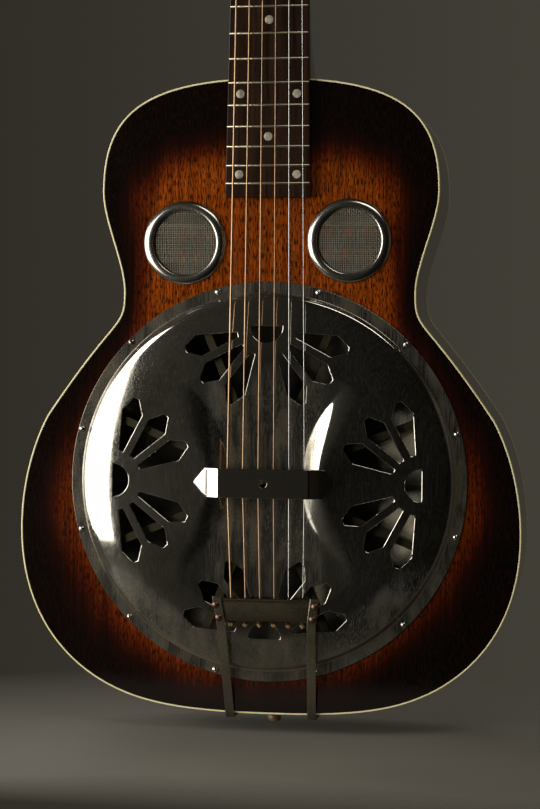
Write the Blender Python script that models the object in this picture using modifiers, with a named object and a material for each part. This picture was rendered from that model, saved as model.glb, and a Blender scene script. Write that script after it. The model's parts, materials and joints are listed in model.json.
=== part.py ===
"""Resonator guitar: wooden body, pressed coverplate over a spider bridge and cone, round neck.

The guitar is drawn in its own frame and moved to the hanger at the end:
x to the treble side, y from the soundboard's face into the body, z up along the neck,
zero on the soundboard's face under the saddle. Heights are measured out from that face, along -y.
"""
from math import atan2, ceil, cos, hypot, pi, radians, sin, sqrt

import bmesh
import bpy
from mathutils import Matrix, Vector

MM = 0.001
GAP = 0.3 * MM                      # left between pieces that touch on the real guitar

# driving dimensions
SCALE_LENGTH = 635 * MM             # saddle to nut
BODY_DEPTH = 84 * MM
PLATE = 3.2 * MM                    # soundboard and back
RIB = 2.5 * MM                      # sides
BINDING_WIDTH = 1.8 * MM
BINDING_DEPTH = 5 * MM
COVER_RADIUS = 142.7 * MM
STRING_LIFT_AT_SADDLE = 12.6 * MM   # underside of the strings above the soundboard
STRING_LIFT_AT_NUT = 8.2 * MM
HEADSTOCK_TILT = radians(14)

# body outline: point, direction of travel and the lengths of its two handles, bottom to top
BODY_CURVE = (
    ((0, -166.2), 0, 0, 42.5),
    ((90.7, -158.3), 14.7, 22.8, 48.8),
    ((180.9, -36.3), 90, 71.0, 49.2),
    ((160.6, 46.9), 124.1, 2.0, 89.0),
    ((105.2, 134.5), 90, 26.7, 21.5),
    ((121.2, 207.0), 90, 22.2, 54.3),
    ((0, 287.0), 180, 94.4, 0),
)
POINTS_PER_CURVE = 6
BODY_TOP = 287 * MM
BODY_BOTTOM = -166.2 * MM

# soundboard holes
WELL_HOLE = 134.6 * MM
SCREEN_HOLE = 25.5 * MM
SCREENS = {"bass": (-60.6 * MM, 170.1 * MM), "treble": (57.6 * MM, 171.8 * MM)}

# inside the body
LINING_WIDTH = 5.5 * MM
LINING_DEPTH = 11 * MM
BRACE_DEPTH = 12 * MM
BRACE_WIDTH = 8 * MM
WELL_INNER = 131 * MM
WELL_OUTER = 139 * MM
WELL_PORTS = 8
PORT_RADIUS = 21 * MM

# cone, from its lip inwards: radius, height above the lip
CONE_SLOPES = ((133.5, 0), (128, 0), (96, -13), (62, -22), (38, -25), (27, -21), (9, -8.5), (3, -8.5))
CONE_SHEET = 0.8 * MM
CONE_LIP = -PLATE

# spider bridge
SPIDER_LEGS = 8
LEG_ROOT = (16, 3.2)                # distance from the middle, half width
LEG_TIP = (131.5, 2.6)
LEG_LIFT = 1.5 * MM
HUB_RADIUS = 18 * MM
BAR_HALF = (31 * MM, 5 * MM)
BAR_LIFT = 2.4 * MM
SADDLE_FOOT = -2.7 * MM
SADDLE_THICKNESS = 3 * MM
SADDLES = {"bass": (-29.5 * MM, -2.7 * MM), "treble": (2.7 * MM, 31 * MM)}
SCREW_RADIUS = 1.9 * MM

# coverplate
COVER_SHEET = 0.8 * MM
CROWN_RADIUS = 38 * MM
CROWN_LIFT = 12.6 * MM
DOME_RADIUS = 132 * MM
DOME_LIFT = 2.6 * MM
CHANNEL_LIFT = 3.6 * MM             # floor under the strings
CHANNEL_HALF = 31 * MM
CHANNEL_SPREAD = 0.46
WALL_HALF = 43 * MM
WALL_SPREAD = 0.62
FLANGE_RADIUS = 137 * MM
FLANGE_LIFT = GAP + COVER_SHEET
BEAD_RADIUS = 134.4 * MM
BEAD_LIFT = 3.5 * MM
COVER_RINGS = (15, 31, 37, 43, 50, 62, 80, 100, 118, 132)   # radii of the disc's rows of points
COVER_STEPS = 48
FAN_RADIUS = 111 * MM               # flat sides of the D holes
D_HOLE_RADIUS = 11.5 * MM
PETAL_ANGLES = (-74, -50, -26, 26, 50, 74)
PETAL = ((21.8, 1.5), (50.5, 7.6), (60.5, 2.0))   # distance from the fan's centre, half width
BRIDGE_SLOT = (63 * MM, 13 * MM)

# hand rest
REST_SHEET = 1.2 * MM
REST_HOLE = 3 * MM
# distance from the middle, height of the underside, half width
REST_UNDERSIDE = ((50.5, 11.9, 0.8), (47, 12.25, 5.2), (42.5, 12.75, 10.4), (40, 14.0, 10.4),
                  (37, 16.2, 10.4), (33.5, 17.4, 10.4), (14, 17.4, 10.4))

# neck
NUT_WIDTH = 45 * MM
NUT_LENGTH = 5.5 * MM
BOARD_END = 202 * MM
BOARD_END_WIDTH = 61 * MM
BOARD_THICKNESS = 6.2 * MM
NECK_THIN = 15.5 * MM               # below the fingerboard, at the nut
NECK_THICK = 18.5 * MM              # and at the heel's start
HEEL_START = 352 * MM
HEEL_DEPTH = 77 * MM
HEADSTOCK_DEPTH = 15 * MM
OVERLAY = 1.5 * MM
# headstock half widths at distances from the nut
HEADSTOCK_SIDES = ((0, 22.8), (9, 24.6), (20, 30.5), (32, 34.6), (90, 36.2), (150, 37.6), (163, 37.2),
                   (170, 34.5), (173, 29))

# strings, low to high
STRING_RADII = (0.70 * MM, 0.55 * MM, 0.43 * MM, 0.33 * MM, 0.23 * MM, 0.18 * MM)
NUT_SPREAD = 39.4 * MM
SADDLE_SPREAD = 55.1 * MM
TAIL_SPREAD = 51.5 * MM
SADDLE_DRIFT = 1.35 * MM            # the string set lies a little to the treble side
TAIL_DRIFT = 2.45 * MM
TAIL_LIFT = 10.4 * MM               # the strings at the tailpiece

# tuners
POST_X = 19.5 * MM
POST_STATIONS = (48 * MM, 84 * MM, 120 * MM)
POST_RADIUS = 3 * MM
POST_TOP = 14 * MM
WHEEL_RADIUS = 6 * MM
WORM_RADIUS = 2.6 * MM
SHAFT_RADIUS = 1.5 * MM
WORM_OFFSET = WHEEL_RADIUS + WORM_RADIUS + 0.2 * MM
WORM_HALF = 4.6 * MM
WHEEL_THICKNESS = 5.2 * MM
TUNER_PLATE = 1.2 * MM
TUNER_PLATE_HALF = 9 * MM
EAR_OFFSET = 6.4 * MM               # the worm's two bearings, either side of its wheel
EAR_SHEET = 1.6 * MM
BUTTON_START = 40.5 * MM
BUTTON_LENGTH = 13 * MM

# tailpiece
TAIL_TOP = -81.6 * MM
TAIL_BOTTOM = -98.6 * MM
TAIL_HALF_TOP = 38.6 * MM
TAIL_HALF_BOTTOM = 31.2 * MM
TAIL_SHEET = 1.2 * MM
TAIL_SHEET_LIFT = 14.2 * MM
LEG_WIDTH = 6.4 * MM
LEG_SHEET = 1.3 * MM
LEG_FEET = {"bass": -25.3 * MM, "treble": 34.0 * MM}
END_PIN_LIFT = -42 * MM
END_PIN_HOLE = 3.8 * MM
BRACKET_TOP = 10 * MM               # depths behind the soundboard's face
BRACKET_LOW = 24 * MM
BRACKET_BOSS = 9 * MM

# turns a piece that is modelled along z to point out of the soundboard
FACE = Matrix.Rotation(radians(90), 4, "X")

# the wall hanger's yoke meets the back of the neck here
HANGER = Vector((0, NECK_THIN, SCALE_LENGTH - 8 * MM))

for leftover in list(bpy.data.objects):
    bpy.data.objects.remove(leftover, do_unlink=True)

guitar = bpy.data.collections.new("resonator_guitar")
cutters = bpy.data.collections.new("cutters")
bpy.context.scene.collection.children.link(guitar)
bpy.context.scene.collection.children.link(cutters)


# ---------------------------------------------------------------- materials
def material(name, color, roughness, metallic=0.0):
    made = bpy.data.materials.new(name)
    made.use_nodes = True
    shader = made.node_tree.nodes["Principled BSDF"]
    shader.inputs["Base Color"].default_value = (*color, 1)
    shader.inputs["Roughness"].default_value = roughness
    shader.inputs["Metallic"].default_value = metallic
    made.diffuse_color = (*color, 1)
    return made


FINISHES = {
    "mahogany": ((0.33, 0.12, 0.03), 0.25, 0.0),
    "bare_wood": ((0.55, 0.38, 0.22), 0.6, 0.0),
    "binding": ((0.85, 0.76, 0.55), 0.35, 0.0),
    "nickel": ((0.50, 0.50, 0.47), 0.28, 1.0),
    "spun_aluminium": ((0.62, 0.62, 0.63), 0.35, 1.0),
    "rosewood": ((0.07, 0.04, 0.03), 0.45, 0.0),
    "overlay": ((0.02, 0.018, 0.016), 0.2, 0.0),
    "bone": ((0.83, 0.78, 0.66), 0.4, 0.0),
    "maple": ((0.72, 0.53, 0.32), 0.5, 0.0),
    "wound": ((0.60, 0.38, 0.22), 0.3, 1.0),
    "steel": ((0.66, 0.67, 0.68), 0.22, 1.0),
    "button": ((0.86, 0.80, 0.64), 0.3, 0.0),
}


# ---------------------------------------------------------------- building helpers
def show(name, data, finish, place=None):
    """Link one named sub-part with its own material."""
    piece = bpy.data.objects.new(name, data)
    guitar.objects.link(piece)
    data.materials.append(material(name, *FINISHES[finish]))
    if place:
        piece.matrix_world = place
    return piece


def facing_front(lift):
    """Turn a flat outline to the soundboard's plane, its middle at this height."""
    return Matrix.Translation((0, -lift, 0)) @ FACE


def on_headstock(x, station, normal):
    """The headstock's frame: x, along its face, and out of its face."""
    base = Matrix.Translation((0, 0, SCALE_LENGTH + NUT_LENGTH))
    lean = Matrix.Rotation(radians(90) - HEADSTOCK_TILT, 4, "X")
    return base @ lean @ Matrix.Translation((x, station, normal))


def flat_piece(name, loops, thickness, place, finish):
    """An outline with holes, given as closed loops, raised to a thickness."""
    curve = bpy.data.curves.new(name, "CURVE")
    curve.dimensions = "2D"
    curve.fill_mode = "BOTH"
    curve.extrude = thickness / 2
    for loop in loops:
        spline = curve.splines.new("POLY")
        spline.points.add(len(loop) - 1)
        spline.use_cyclic_u = True
        for point, (across, along) in zip(spline.points, loop):
            point.co = (across, along, 0, 1)
    return show(name, curve, finish, place)


def as_mesh(piece):
    """Turn a curve piece into a mesh piece with welded caps, so that it can be cut."""
    name, place = piece.name, piece.matrix_world.copy()
    bpy.context.view_layer.update()
    mesh = bpy.data.meshes.new_from_object(piece.evaluated_get(bpy.context.evaluated_depsgraph_get()))
    welded = bmesh.new()
    welded.from_mesh(mesh)
    bmesh.ops.remove_doubles(welded, verts=welded.verts, dist=0.00001)
    welded.to_mesh(mesh)
    welded.free()
    bpy.data.objects.remove(piece, do_unlink=True)
    solid = bpy.data.objects.new(name, mesh)
    guitar.objects.link(solid)
    solid.matrix_world = place
    return solid


def turned(name, profile, finish, place, steps=32, closed=False):
    """A turned piece: (radius, height) points that run down its outer side."""
    mesh = bpy.data.meshes.new(name)
    count = len(profile)
    edges = [(i, i + 1) for i in range(count - 1)]
    if closed:
        edges.append((count - 1, 0))
    mesh.from_pydata([(radius, 0, height) for radius, height in profile], edges, [])
    piece = show(name, mesh, finish, place)
    screw = piece.modifiers.new("turn", "SCREW")
    screw.axis = "Z"
    screw.steps = steps
    screw.render_steps = steps
    screw.use_merge_vertices = True
    screw.merge_threshold = 0.00001
    screw.use_smooth_shade = True
    return piece


def mesh_piece(name, build, finish, place=None):
    mesh = bpy.data.meshes.new(name)
    build.to_mesh(mesh)
    build.free()
    return show(name, mesh, finish, place)


def block(name, size, centre, finish):
    build = bmesh.new()
    bmesh.ops.create_cube(build, size=1)
    bmesh.ops.scale(build, vec=size, verts=build.verts)
    piece = mesh_piece(name, build, finish, Matrix.Translation(centre))
    soften = piece.modifiers.new("edges", "BEVEL")
    soften.width = 0.6 * MM
    soften.segments = 1
    return piece


def ribbon(name, stations, sheet, finish):
    """A strap whose inner face runs through (left point, right point) stations."""
    build = bmesh.new()
    rails = [(build.verts.new(left), build.verts.new(right)) for left, right in stations]
    for (a, b), (d, c) in zip(rails, rails[1:]):
        build.faces.new((a, b, c, d))
    piece = mesh_piece(name, build, finish)
    thick = piece.modifiers.new("sheet", "SOLIDIFY")
    thick.thickness = sheet
    thick.offset = -1
    thick.use_even_offset = True
    return piece


def cutter(name, build, place=Matrix()):
    mesh = bpy.data.meshes.new(name)
    build.to_mesh(mesh)
    build.free()
    tool = bpy.data.objects.new(name, mesh)
    tool.matrix_world = place
    tool.hide_render = True
    tool.display_type = "WIRE"
    cutters.objects.link(tool)
    return tool


def cylinder(build, radius, low, high, place=Matrix(), steps=24):
    """A closed cylinder along local z, added to a bmesh."""
    shift = place @ Matrix.Translation((0, 0, (low + high) / 2))
    bmesh.ops.create_cone(build, cap_ends=True, segments=steps, radius1=radius, radius2=radius,
                          depth=high - low, matrix=shift)


def prism(build, loop, low, high, place=Matrix()):
    """A closed prism on a counter-clockwise loop, along local z."""
    floor = [build.verts.new(place @ Vector((x, y, low))) for x, y in loop]
    roof = [build.verts.new(place @ Vector((x, y, high))) for x, y in loop]
    build.faces.new(list(reversed(floor)))
    build.faces.new(roof)
    for i in range(len(loop)):
        j = (i + 1) % len(loop)
        build.faces.new((floor[i], floor[j], roof[j], roof[i]))


def combine(piece, tool, operation="DIFFERENCE"):
    step = piece.modifiers.new(tool.name, "BOOLEAN")
    step.operation = operation
    step.solver = "EXACT"
    step.object = tool


def circle(radius, centre=(0, 0), steps=48):
    turn = 2 * pi / steps
    return [(centre[0] + radius * cos(i * turn), centre[1] + radius * sin(i * turn)) for i in range(steps)]


# ---------------------------------------------------------------- the body's outline
def bezier(p0, p1, p2, p3, t):
    s = 1 - t
    return tuple(s**3 * a + 3 * s * s * t * b + 3 * s * t * t * c + t**3 * d
                 for a, b, c, d in zip(p0, p1, p2, p3))


def treble_half():
    """Points of the outline from the tail to the neck, up the treble side."""
    points = []
    for (start, turn0, _, out), (end, turn1, back, _) in zip(BODY_CURVE, BODY_CURVE[1:]):
        aim0, aim1 = radians(turn0), radians(turn1)
        handle0 = (start[0] + out * cos(aim0), start[1] + out * sin(aim0))
        handle1 = (end[0] - back * cos(aim1), end[1] - back * sin(aim1))
        for i in range(POINTS_PER_CURVE):
            x, z = bezier(start, handle0, handle1, end, i / POINTS_PER_CURVE)
            points.append((x * MM, z * MM))
    points.append((0, BODY_TOP))
    return points


def inset(points, distance):
    """Move an open half outline inwards; its ends stay on the middle line."""
    moved = []
    last = len(points) - 1
    for i, (x, z) in enumerate(points):
        before, after = points[max(i - 1, 0)], points[min(i + 1, last)]
        dx, dz = after[0] - before[0], after[1] - before[1]
        if i in (0, last):
            dz = 0
        length = hypot(dx, dz)
        moved.append((x - distance * dz / length, z + distance * dx / length))
    return moved


HALF = treble_half()


def outline(distance=0.0):
    """The whole closed outline, counter-clockwise from the tail."""
    half = inset(HALF, distance)
    return half + [(-x, z) for x, z in reversed(half[1:-1])]


def half_width_at(z, distance):
    """Half width of the inset outline across the upper bout."""
    half = inset(HALF, distance)
    for (x0, z0), (x1, z1) in zip(half, half[1:]):
        if z0 <= z <= z1:
            return x0 + (x1 - x0) * (z - z0) / (z1 - z0)


# ---------------------------------------------------------------- body shell
def soundboard():
    holes = [circle(WELL_HOLE, steps=60)]
    holes += [circle(SCREEN_HOLE, centre, 24) for centre in SCREENS.values()]
    edge = outline(BINDING_WIDTH + GAP)
    flat_piece("soundboard", [edge] + holes, PLATE, facing_front(-PLATE / 2), "mahogany")


def back():
    edge = outline(BINDING_WIDTH + GAP)
    flat_piece("back", [edge], PLATE, facing_front(PLATE / 2 - BODY_DEPTH), "mahogany")


def binding(name, lift):
    loops = [outline(), outline(BINDING_WIDTH)]
    flat_piece(name, loops, BINDING_DEPTH, facing_front(lift), "binding")


def sides():
    """Two bent ribs that meet at the tail and under the heel."""
    depth = BODY_DEPTH - 2 * (BINDING_DEPTH + GAP)
    outer, inner = inset(HALF, 0), inset(HALF, RIB)
    for name, side in (("treble_side", 1), ("bass_side", -1)):
        loop = outer + list(reversed(inner))
        loop = [(side * max(x, GAP / 2), z) for x, z in loop]
        rib = flat_piece(name, [loop], depth, facing_front(-BODY_DEPTH / 2), "mahogany")
        combine(as_mesh(rib), pin_hole)


def linings():
    outer = RIB + GAP
    loops = [outline(outer), outline(outer + LINING_WIDTH)]
    middle = PLATE + GAP + LINING_DEPTH / 2
    flat_piece("top_lining", loops, LINING_DEPTH, facing_front(-middle), "bare_wood")
    flat_piece("back_lining", loops, LINING_DEPTH, facing_front(middle - BODY_DEPTH), "bare_wood")


def blocks_and_braces():
    lining_end = PLATE + GAP + LINING_DEPTH + GAP
    depth = BODY_DEPTH - 2 * lining_end
    middle = BODY_DEPTH / 2
    block("neck_block", (76 * MM, depth, 42 * MM), (0, middle, 260.5 * MM), "bare_wood")
    tail = block("tail_block", (70 * MM, depth, 20 * MM), (0, middle, -152.3 * MM), "bare_wood")
    combine(tail, pin_hole)
    block("neck_dowel", (20 * MM, 16 * MM, 99.6 * MM), (0, middle, 189.4 * MM), "bare_wood")
    reach = RIB + LINING_WIDTH + 1 * MM
    for name, z, y in (("soundboard_brace", 222 * MM, PLATE + GAP + BRACE_DEPTH / 2),
                       ("back_brace", 190 * MM, BODY_DEPTH - PLATE - GAP - BRACE_DEPTH / 2)):
        width = 2 * half_width_at(z, reach) - 6 * MM
        block(name, (width, BRACE_DEPTH, BRACE_WIDTH), (0, y, z), "bare_wood")


def soundwell():
    """The drum that the cone rests on, with round ports into the body."""
    top, bottom = -PLATE - GAP, PLATE + GAP - BODY_DEPTH
    wall = [(WELL_OUTER, top), (WELL_OUTER, bottom), (WELL_INNER, bottom), (WELL_INNER, top)]
    well = turned("soundwell", wall, "bare_wood", FACE, 40, closed=True)
    build = bmesh.new()
    middle = Matrix.Translation((0, 0, -BODY_DEPTH / 2))
    for i in range(WELL_PORTS):
        aim = Matrix.Rotation(2 * pi * (i + 0.5) / WELL_PORTS, 4, "Z") @ Matrix.Rotation(radians(90), 4, "Y")
        cylinder(build, PORT_RADIUS, WELL_INNER - 10 * MM, WELL_OUTER + 10 * MM, middle @ aim, 12)
    combine(well, cutter("soundwell_ports", build, FACE))


# ---------------------------------------------------------------- resonator
def cone():
    under = [(radius * MM, CONE_LIP + rise * MM) for radius, rise in CONE_SLOPES]
    over = [(radius, height + CONE_SHEET) for radius, height in under]
    turned("resonator_cone", list(reversed(over)) + under, "spun_aluminium", FACE, 36, closed=True)


def spider():
    """A cast star of legs with a hub, and a slotted bar for the two saddles."""
    (root, root_half), (tip, tip_half) = LEG_ROOT, LEG_TIP
    star = []
    for i in range(SPIDER_LEGS):
        middle = 2 * pi * (i + 0.5) / SPIDER_LEGS
        for radius, half in ((root, root_half), (tip, tip_half), (tip, -tip_half), (root, -root_half)):
            turn = middle - atan2(half, radius)
            reach = hypot(radius, half) * MM
            star.append((reach * cos(turn), reach * sin(turn)))
    build = bmesh.new()
    prism(build, star, CONE_LIP + CONE_SHEET + GAP, LEG_LIFT)
    casting = mesh_piece("spider_bridge", build, "spun_aluminium", FACE)
    hub = bmesh.new()
    cylinder(hub, HUB_RADIUS, -6.5 * MM, LEG_LIFT - 0.6 * MM)
    combine(casting, cutter("spider_hub", hub, FACE), "UNION")
    bar = bmesh.new()
    prism(bar, box_loop(*BAR_HALF), -5 * MM, BAR_LIFT)
    combine(casting, cutter("spider_bar", bar, FACE), "UNION")
    slots = bmesh.new()
    half = SADDLE_THICKNESS / 2 + GAP
    for low, high in SADDLES.values():
        outwards = rectangle(low - GAP, high + GAP, -half, half)
        prism(slots, outwards, SADDLE_FOOT - GAP, BAR_LIFT + 1 * MM)
    combine(casting, cutter("saddle_slots", slots, FACE))
    bore = bmesh.new()
    cylinder(bore, SCREW_RADIUS + GAP, -10 * MM, BAR_LIFT + 1 * MM)
    combine(casting, cutter("screw_bore", bore, FACE))


def saddles_and_screw():
    top = STRING_LIFT_AT_SADDLE - GAP
    for side, (low, high) in SADDLES.items():
        size = (high - low, top - SADDLE_FOOT, SADDLE_THICKNESS)
        block(side + "_saddle", size, ((low + high) / 2, -(top + SADDLE_FOOT) / 2, 0), "maple")
    head, foot, chamfer = 4 * MM, -14.5 * MM, 0.4 * MM
    screw = [(0, head), (SCREW_RADIUS - chamfer, head), (SCREW_RADIUS, head - chamfer), (SCREW_RADIUS, foot),
             (0, foot)]
    turned("tension_screw", screw, "steel", FACE, 16)


def rectangle(low_x, high_x, low_y, high_y):
    return [(low_x, low_y), (high_x, low_y), (high_x, high_y), (low_x, high_y)]


def box_loop(half_across, half_along):
    return rectangle(-half_across, half_across, -half_along, half_along)


def dome_lift(radius):
    """The pressed dome's height: a flat crown, then an almost straight fall to the bead."""
    if radius <= CROWN_RADIUS:
        return CROWN_LIFT
    fall = min((radius - CROWN_RADIUS) / (DOME_RADIUS - CROWN_RADIUS), 1)
    return CROWN_LIFT - (CROWN_LIFT - DOME_LIFT) * fall**1.1


def cover_lift(x, z):
    """Height of the dome with the string channel pressed into it."""
    dome = dome_lift(hypot(x, z))
    foot = sqrt(CHANNEL_HALF**2 + (CHANNEL_SPREAD * z) ** 2)
    brow = sqrt(WALL_HALF**2 + (WALL_SPREAD * z) ** 2)
    rise = min(max((abs(x) - foot) / (brow - foot), 0), 1)
    rise = rise * rise * (3 - 2 * rise)
    return dome - (1 - rise) * max(dome - CHANNEL_LIFT, 0)


def fan_loops():
    """Outlines of the four fans: a D hole and six petals each."""
    loops = []
    for quarter in range(4):
        aim = quarter * pi / 2
        centre = Vector((FAN_RADIUS * cos(aim), FAN_RADIUS * sin(aim)))

        def place(distance, angle, side=0.0):
            heading = aim + pi + angle
            inward = Vector((cos(heading), sin(heading)))
            return tuple(centre + distance * inward + side * Vector((-inward.y, inward.x)))

        loops.append([place(D_HOLE_RADIUS, radians(-90 + 20 * i)) for i in range(10)])
        for petal in PETAL_ANGLES:
            right = [place(reach * MM, radians(petal), -half * MM) for reach, half in PETAL]
            left = [place(reach * MM, radians(petal), half * MM) for reach, half in reversed(PETAL)]
            loops.append(right + left)
    return loops


def coverplate():
    """A spun disc whose points are raised to the pressed shape, then pierced."""
    build = bmesh.new()
    radii = [radius * MM for radius in COVER_RINGS]
    radii += [BEAD_RADIUS, FLANGE_RADIUS, COVER_RADIUS]
    line = [build.verts.new((radius, 0, 0)) for radius in radii]
    edges = [build.edges.new(pair) for pair in zip(line, line[1:])]
    bmesh.ops.spin(build, geom=line + edges, cent=(0, 0, 0), axis=(0, -1, 0), angle=2 * pi,
                   steps=COVER_STEPS, use_merge=True)
    bmesh.ops.remove_doubles(build, verts=build.verts, dist=0.00001)
    rim = [edge for edge in build.edges if edge.is_boundary]
    inner = [edge for edge in rim if edge.verts[0].co.length < COVER_RADIUS / 2]
    bmesh.ops.contextual_create(build, geom=inner)
    for point in build.verts:
        radius = hypot(point.co.x, point.co.z)
        if radius > FLANGE_RADIUS - 0.1 * MM:
            lift = FLANGE_LIFT
        elif radius > DOME_RADIUS + 1 * MM:
            lift = BEAD_LIFT
        else:
            lift = cover_lift(point.co.x, point.co.z)
        point.co.y = -lift
    bmesh.ops.triangulate(build, faces=[face for face in build.faces if len(face.verts) > 4])
    bmesh.ops.recalc_face_normals(build, faces=build.faces)
    if build.faces[0].normal.y > 0:
        bmesh.ops.reverse_faces(build, faces=build.faces)
    plate = mesh_piece("coverplate", build, "nickel")
    sheet = plate.modifiers.new("sheet", "SOLIDIFY")
    sheet.thickness = COVER_SHEET
    sheet.offset = -1
    holes = bmesh.new()
    for loop in fan_loops() + [box_loop(BRIDGE_SLOT[0] / 2, BRIDGE_SLOT[1] / 2)]:
        prism(holes, loop, -4 * MM, 20 * MM)
    combine(plate, cutter("cover_holes", holes, FACE))


def hand_rest():
    """The strap over the saddle, its pointed feet on the two mounds."""
    right = [(x * MM, lift * MM, half * MM) for x, lift, half in REST_UNDERSIDE]
    run = right + [(-x, lift, half) for x, lift, half in reversed(right)]
    stations = [((x, -lift, half), (x, -lift, -half)) for x, lift, half in run]
    strap = ribbon("hand_rest", stations, REST_SHEET, "nickel")
    hole = bmesh.new()
    cylinder(hole, REST_HOLE, 10 * MM, 25 * MM, Matrix(), 16)
    combine(strap, cutter("rest_hole", hole, FACE))


def screens():
    ring = ((24.4, 1.4), (22.6, 1.4), (24.2, 3.0), (28.0, 2.6), (29.9, 1.0), (29.9, 0.3), (25.2, 0.3),
            (25.2, -4.0), (24.4, -4.0))
    disc = ((0, 0.9), (24.1, 0.9), (24.1, 0.3), (0, 0.3))
    for side, (x, z) in SCREENS.items():
        place = Matrix.Translation((x, 0, z)) @ FACE
        turned(side + "_screen_ring", [(r * MM, h * MM) for r, h in ring], "nickel", place, 24, closed=True)
        turned(side + "_screen", [(r * MM, h * MM) for r, h in disc], "nickel", place, 24)


# ---------------------------------------------------------------- neck
def board_half_width(z):
    end_half, nut_half = BOARD_END_WIDTH / 2, NUT_WIDTH / 2
    return end_half + (nut_half - end_half) * (z - BOARD_END) / (SCALE_LENGTH - BOARD_END)


def headstock_half_width(station):
    for (s0, w0), (s1, w1) in zip(HEADSTOCK_SIDES, HEADSTOCK_SIDES[1:]):
        if station <= s1 * MM:
            return (w0 + (w1 - w0) * (station / MM - s0) / (s1 - s0)) * MM
    return HEADSTOCK_SIDES[-1][1] * MM


def section(half, depth, roundness, place):
    """A neck section: flat on top, and a back that goes from square (0) to round (1)."""
    ring = [place @ Vector((half, 0, 0))]
    steps = 12
    for i in range(1, steps):
        turn = pi * i / steps
        across = abs(cos(turn)) ** roundness * (1 if cos(turn) > 0 else -1)
        if i == steps // 2:
            across = 0
        ring.append(place @ Vector((half * across, 0, -depth * sin(turn) ** roundness)))
    ring.append(place @ Vector((-half, 0, 0)))
    return ring


def upright(z):
    """A frame at height z on the neck: x across, local z out of the fingerboard."""
    return Matrix.Translation((0, 0, z)) @ FACE


def neck():
    """Heel, neck and headstock in one loft, with six post holes."""
    rings = []
    heel = [BODY_TOP + GAP + step * MM for step in (0, 6, 13, 21, 30, 41, 54)]
    shaft = [400 * MM, 460 * MM, 520 * MM, 580 * MM, 615 * MM, SCALE_LENGTH]
    for z in heel + shaft:
        along = (z - HEEL_START) / (SCALE_LENGTH - HEEL_START)
        depth = NECK_THICK + (NECK_THIN - NECK_THICK) * max(along, 0)
        swell = max((HEEL_START - z) / (HEEL_START - BODY_TOP), 0)
        depth += (HEEL_DEPTH - NECK_THICK) * swell**2.4
        rings.append(section(board_half_width(z), depth, 0.82 - 0.25 * swell, upright(z)))
    for station, _ in HEADSTOCK_SIDES:
        squareness = min(station / 20, 1)
        depth = NECK_THIN + 2 * MM * sin(pi * min(station / 20, 1)) - 0.5 * MM * squareness
        place = on_headstock(0, station * MM, 0)
        rings.append(section(headstock_half_width(station * MM), depth, 0.82 - 0.74 * squareness, place))
    build = bmesh.new()
    lines = [[build.verts.new(point) for point in ring] for ring in rings]
    count = len(lines[0])
    for low, high in zip(lines, lines[1:]):
        for i in range(count):
            j = (i + 1) % count
            build.faces.new((low[i], low[j], high[j], high[i]))
    build.faces.new(lines[0])
    build.faces.new(list(reversed(lines[-1])))
    bmesh.ops.recalc_face_normals(build, faces=build.faces)
    piece = mesh_piece("neck", build, "mahogany")
    holes = bmesh.new()
    for x, station in post_places():
        cylinder(holes, POST_RADIUS + 1 * MM, -30 * MM, 10 * MM, on_headstock(x, station, 0), 16)
    combine(piece, cutter("post_holes", holes))


def post_places():
    """Bass posts from the nut outwards, then treble posts from the tip back to the nut."""
    bass = [(-POST_X, station) for station in POST_STATIONS]
    treble = [(POST_X, station) for station in reversed(POST_STATIONS)]
    return bass + treble


def neck_trim():
    ends = ((BOARD_END, BOARD_END_WIDTH / 2), (SCALE_LENGTH - GAP, NUT_WIDTH / 2))
    board = [(half, z) for z, half in ends] + [(-half, z) for z, half in reversed(ends)]
    place = facing_front(GAP + BOARD_THICKNESS / 2)
    flat_piece("fingerboard", [board], BOARD_THICKNESS, place, "rosewood")

    nut_top = STRING_LIFT_AT_NUT - GAP
    size = (NUT_WIDTH, nut_top - GAP, NUT_LENGTH)
    block("nut", size, (0, -(nut_top + GAP) / 2, SCALE_LENGTH + NUT_LENGTH / 2), "bone")

    start = 4 * MM
    stations = [start] + [station * MM for station, _ in HEADSTOCK_SIDES if station * MM > start]
    right = [(headstock_half_width(station) - GAP, station) for station in stations]
    edge = right + [(-half, station) for half, station in reversed(right)]
    holes = [circle(POST_RADIUS + 1 * MM, place, 16) for place in post_places()]
    flat_piece("headstock_overlay", [edge] + holes, OVERLAY, on_headstock(0, 0, GAP + OVERLAY / 2), "overlay")


# ---------------------------------------------------------------- strings
def string_path(index):
    """Ball end, saddle, nut, then turns round the string's post."""
    radius = STRING_RADII[index]
    share = index / 5 - 0.5
    tail = Vector((TAIL_DRIFT + share * TAIL_SPREAD, -TAIL_LIFT, TAIL_BOTTOM - 4 * MM))
    under = Vector((TAIL_DRIFT + share * TAIL_SPREAD, -TAIL_LIFT, TAIL_TOP))
    saddle_y = -STRING_LIFT_AT_SADDLE - radius
    saddle = Vector((SADDLE_DRIFT + share * SADDLE_SPREAD, saddle_y, 0))
    nut_y = -STRING_LIFT_AT_NUT - radius
    nut_in = Vector((share * NUT_SPREAD, nut_y, SCALE_LENGTH))
    nut_out = Vector((share * NUT_SPREAD, nut_y, SCALE_LENGTH + NUT_LENGTH))
    path = [tail, under, saddle, nut_in, nut_out]
    x, station = post_places()[index]
    wrap = POST_RADIUS + radius + GAP
    side = -1 if x < 0 else 1
    level = GAP + OVERLAY + 6.5 * MM
    turns, steps = 1.25, 8
    drop = 2 * radius + GAP
    for i in range(ceil(turns * steps) + 1):
        turn = 2 * pi * i / steps
        offset = (x - side * wrap * cos(turn), station + wrap * sin(turn), level - drop * i / steps)
        path.append(on_headstock(0, 0, 0) @ Vector(offset))
    return path


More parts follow.
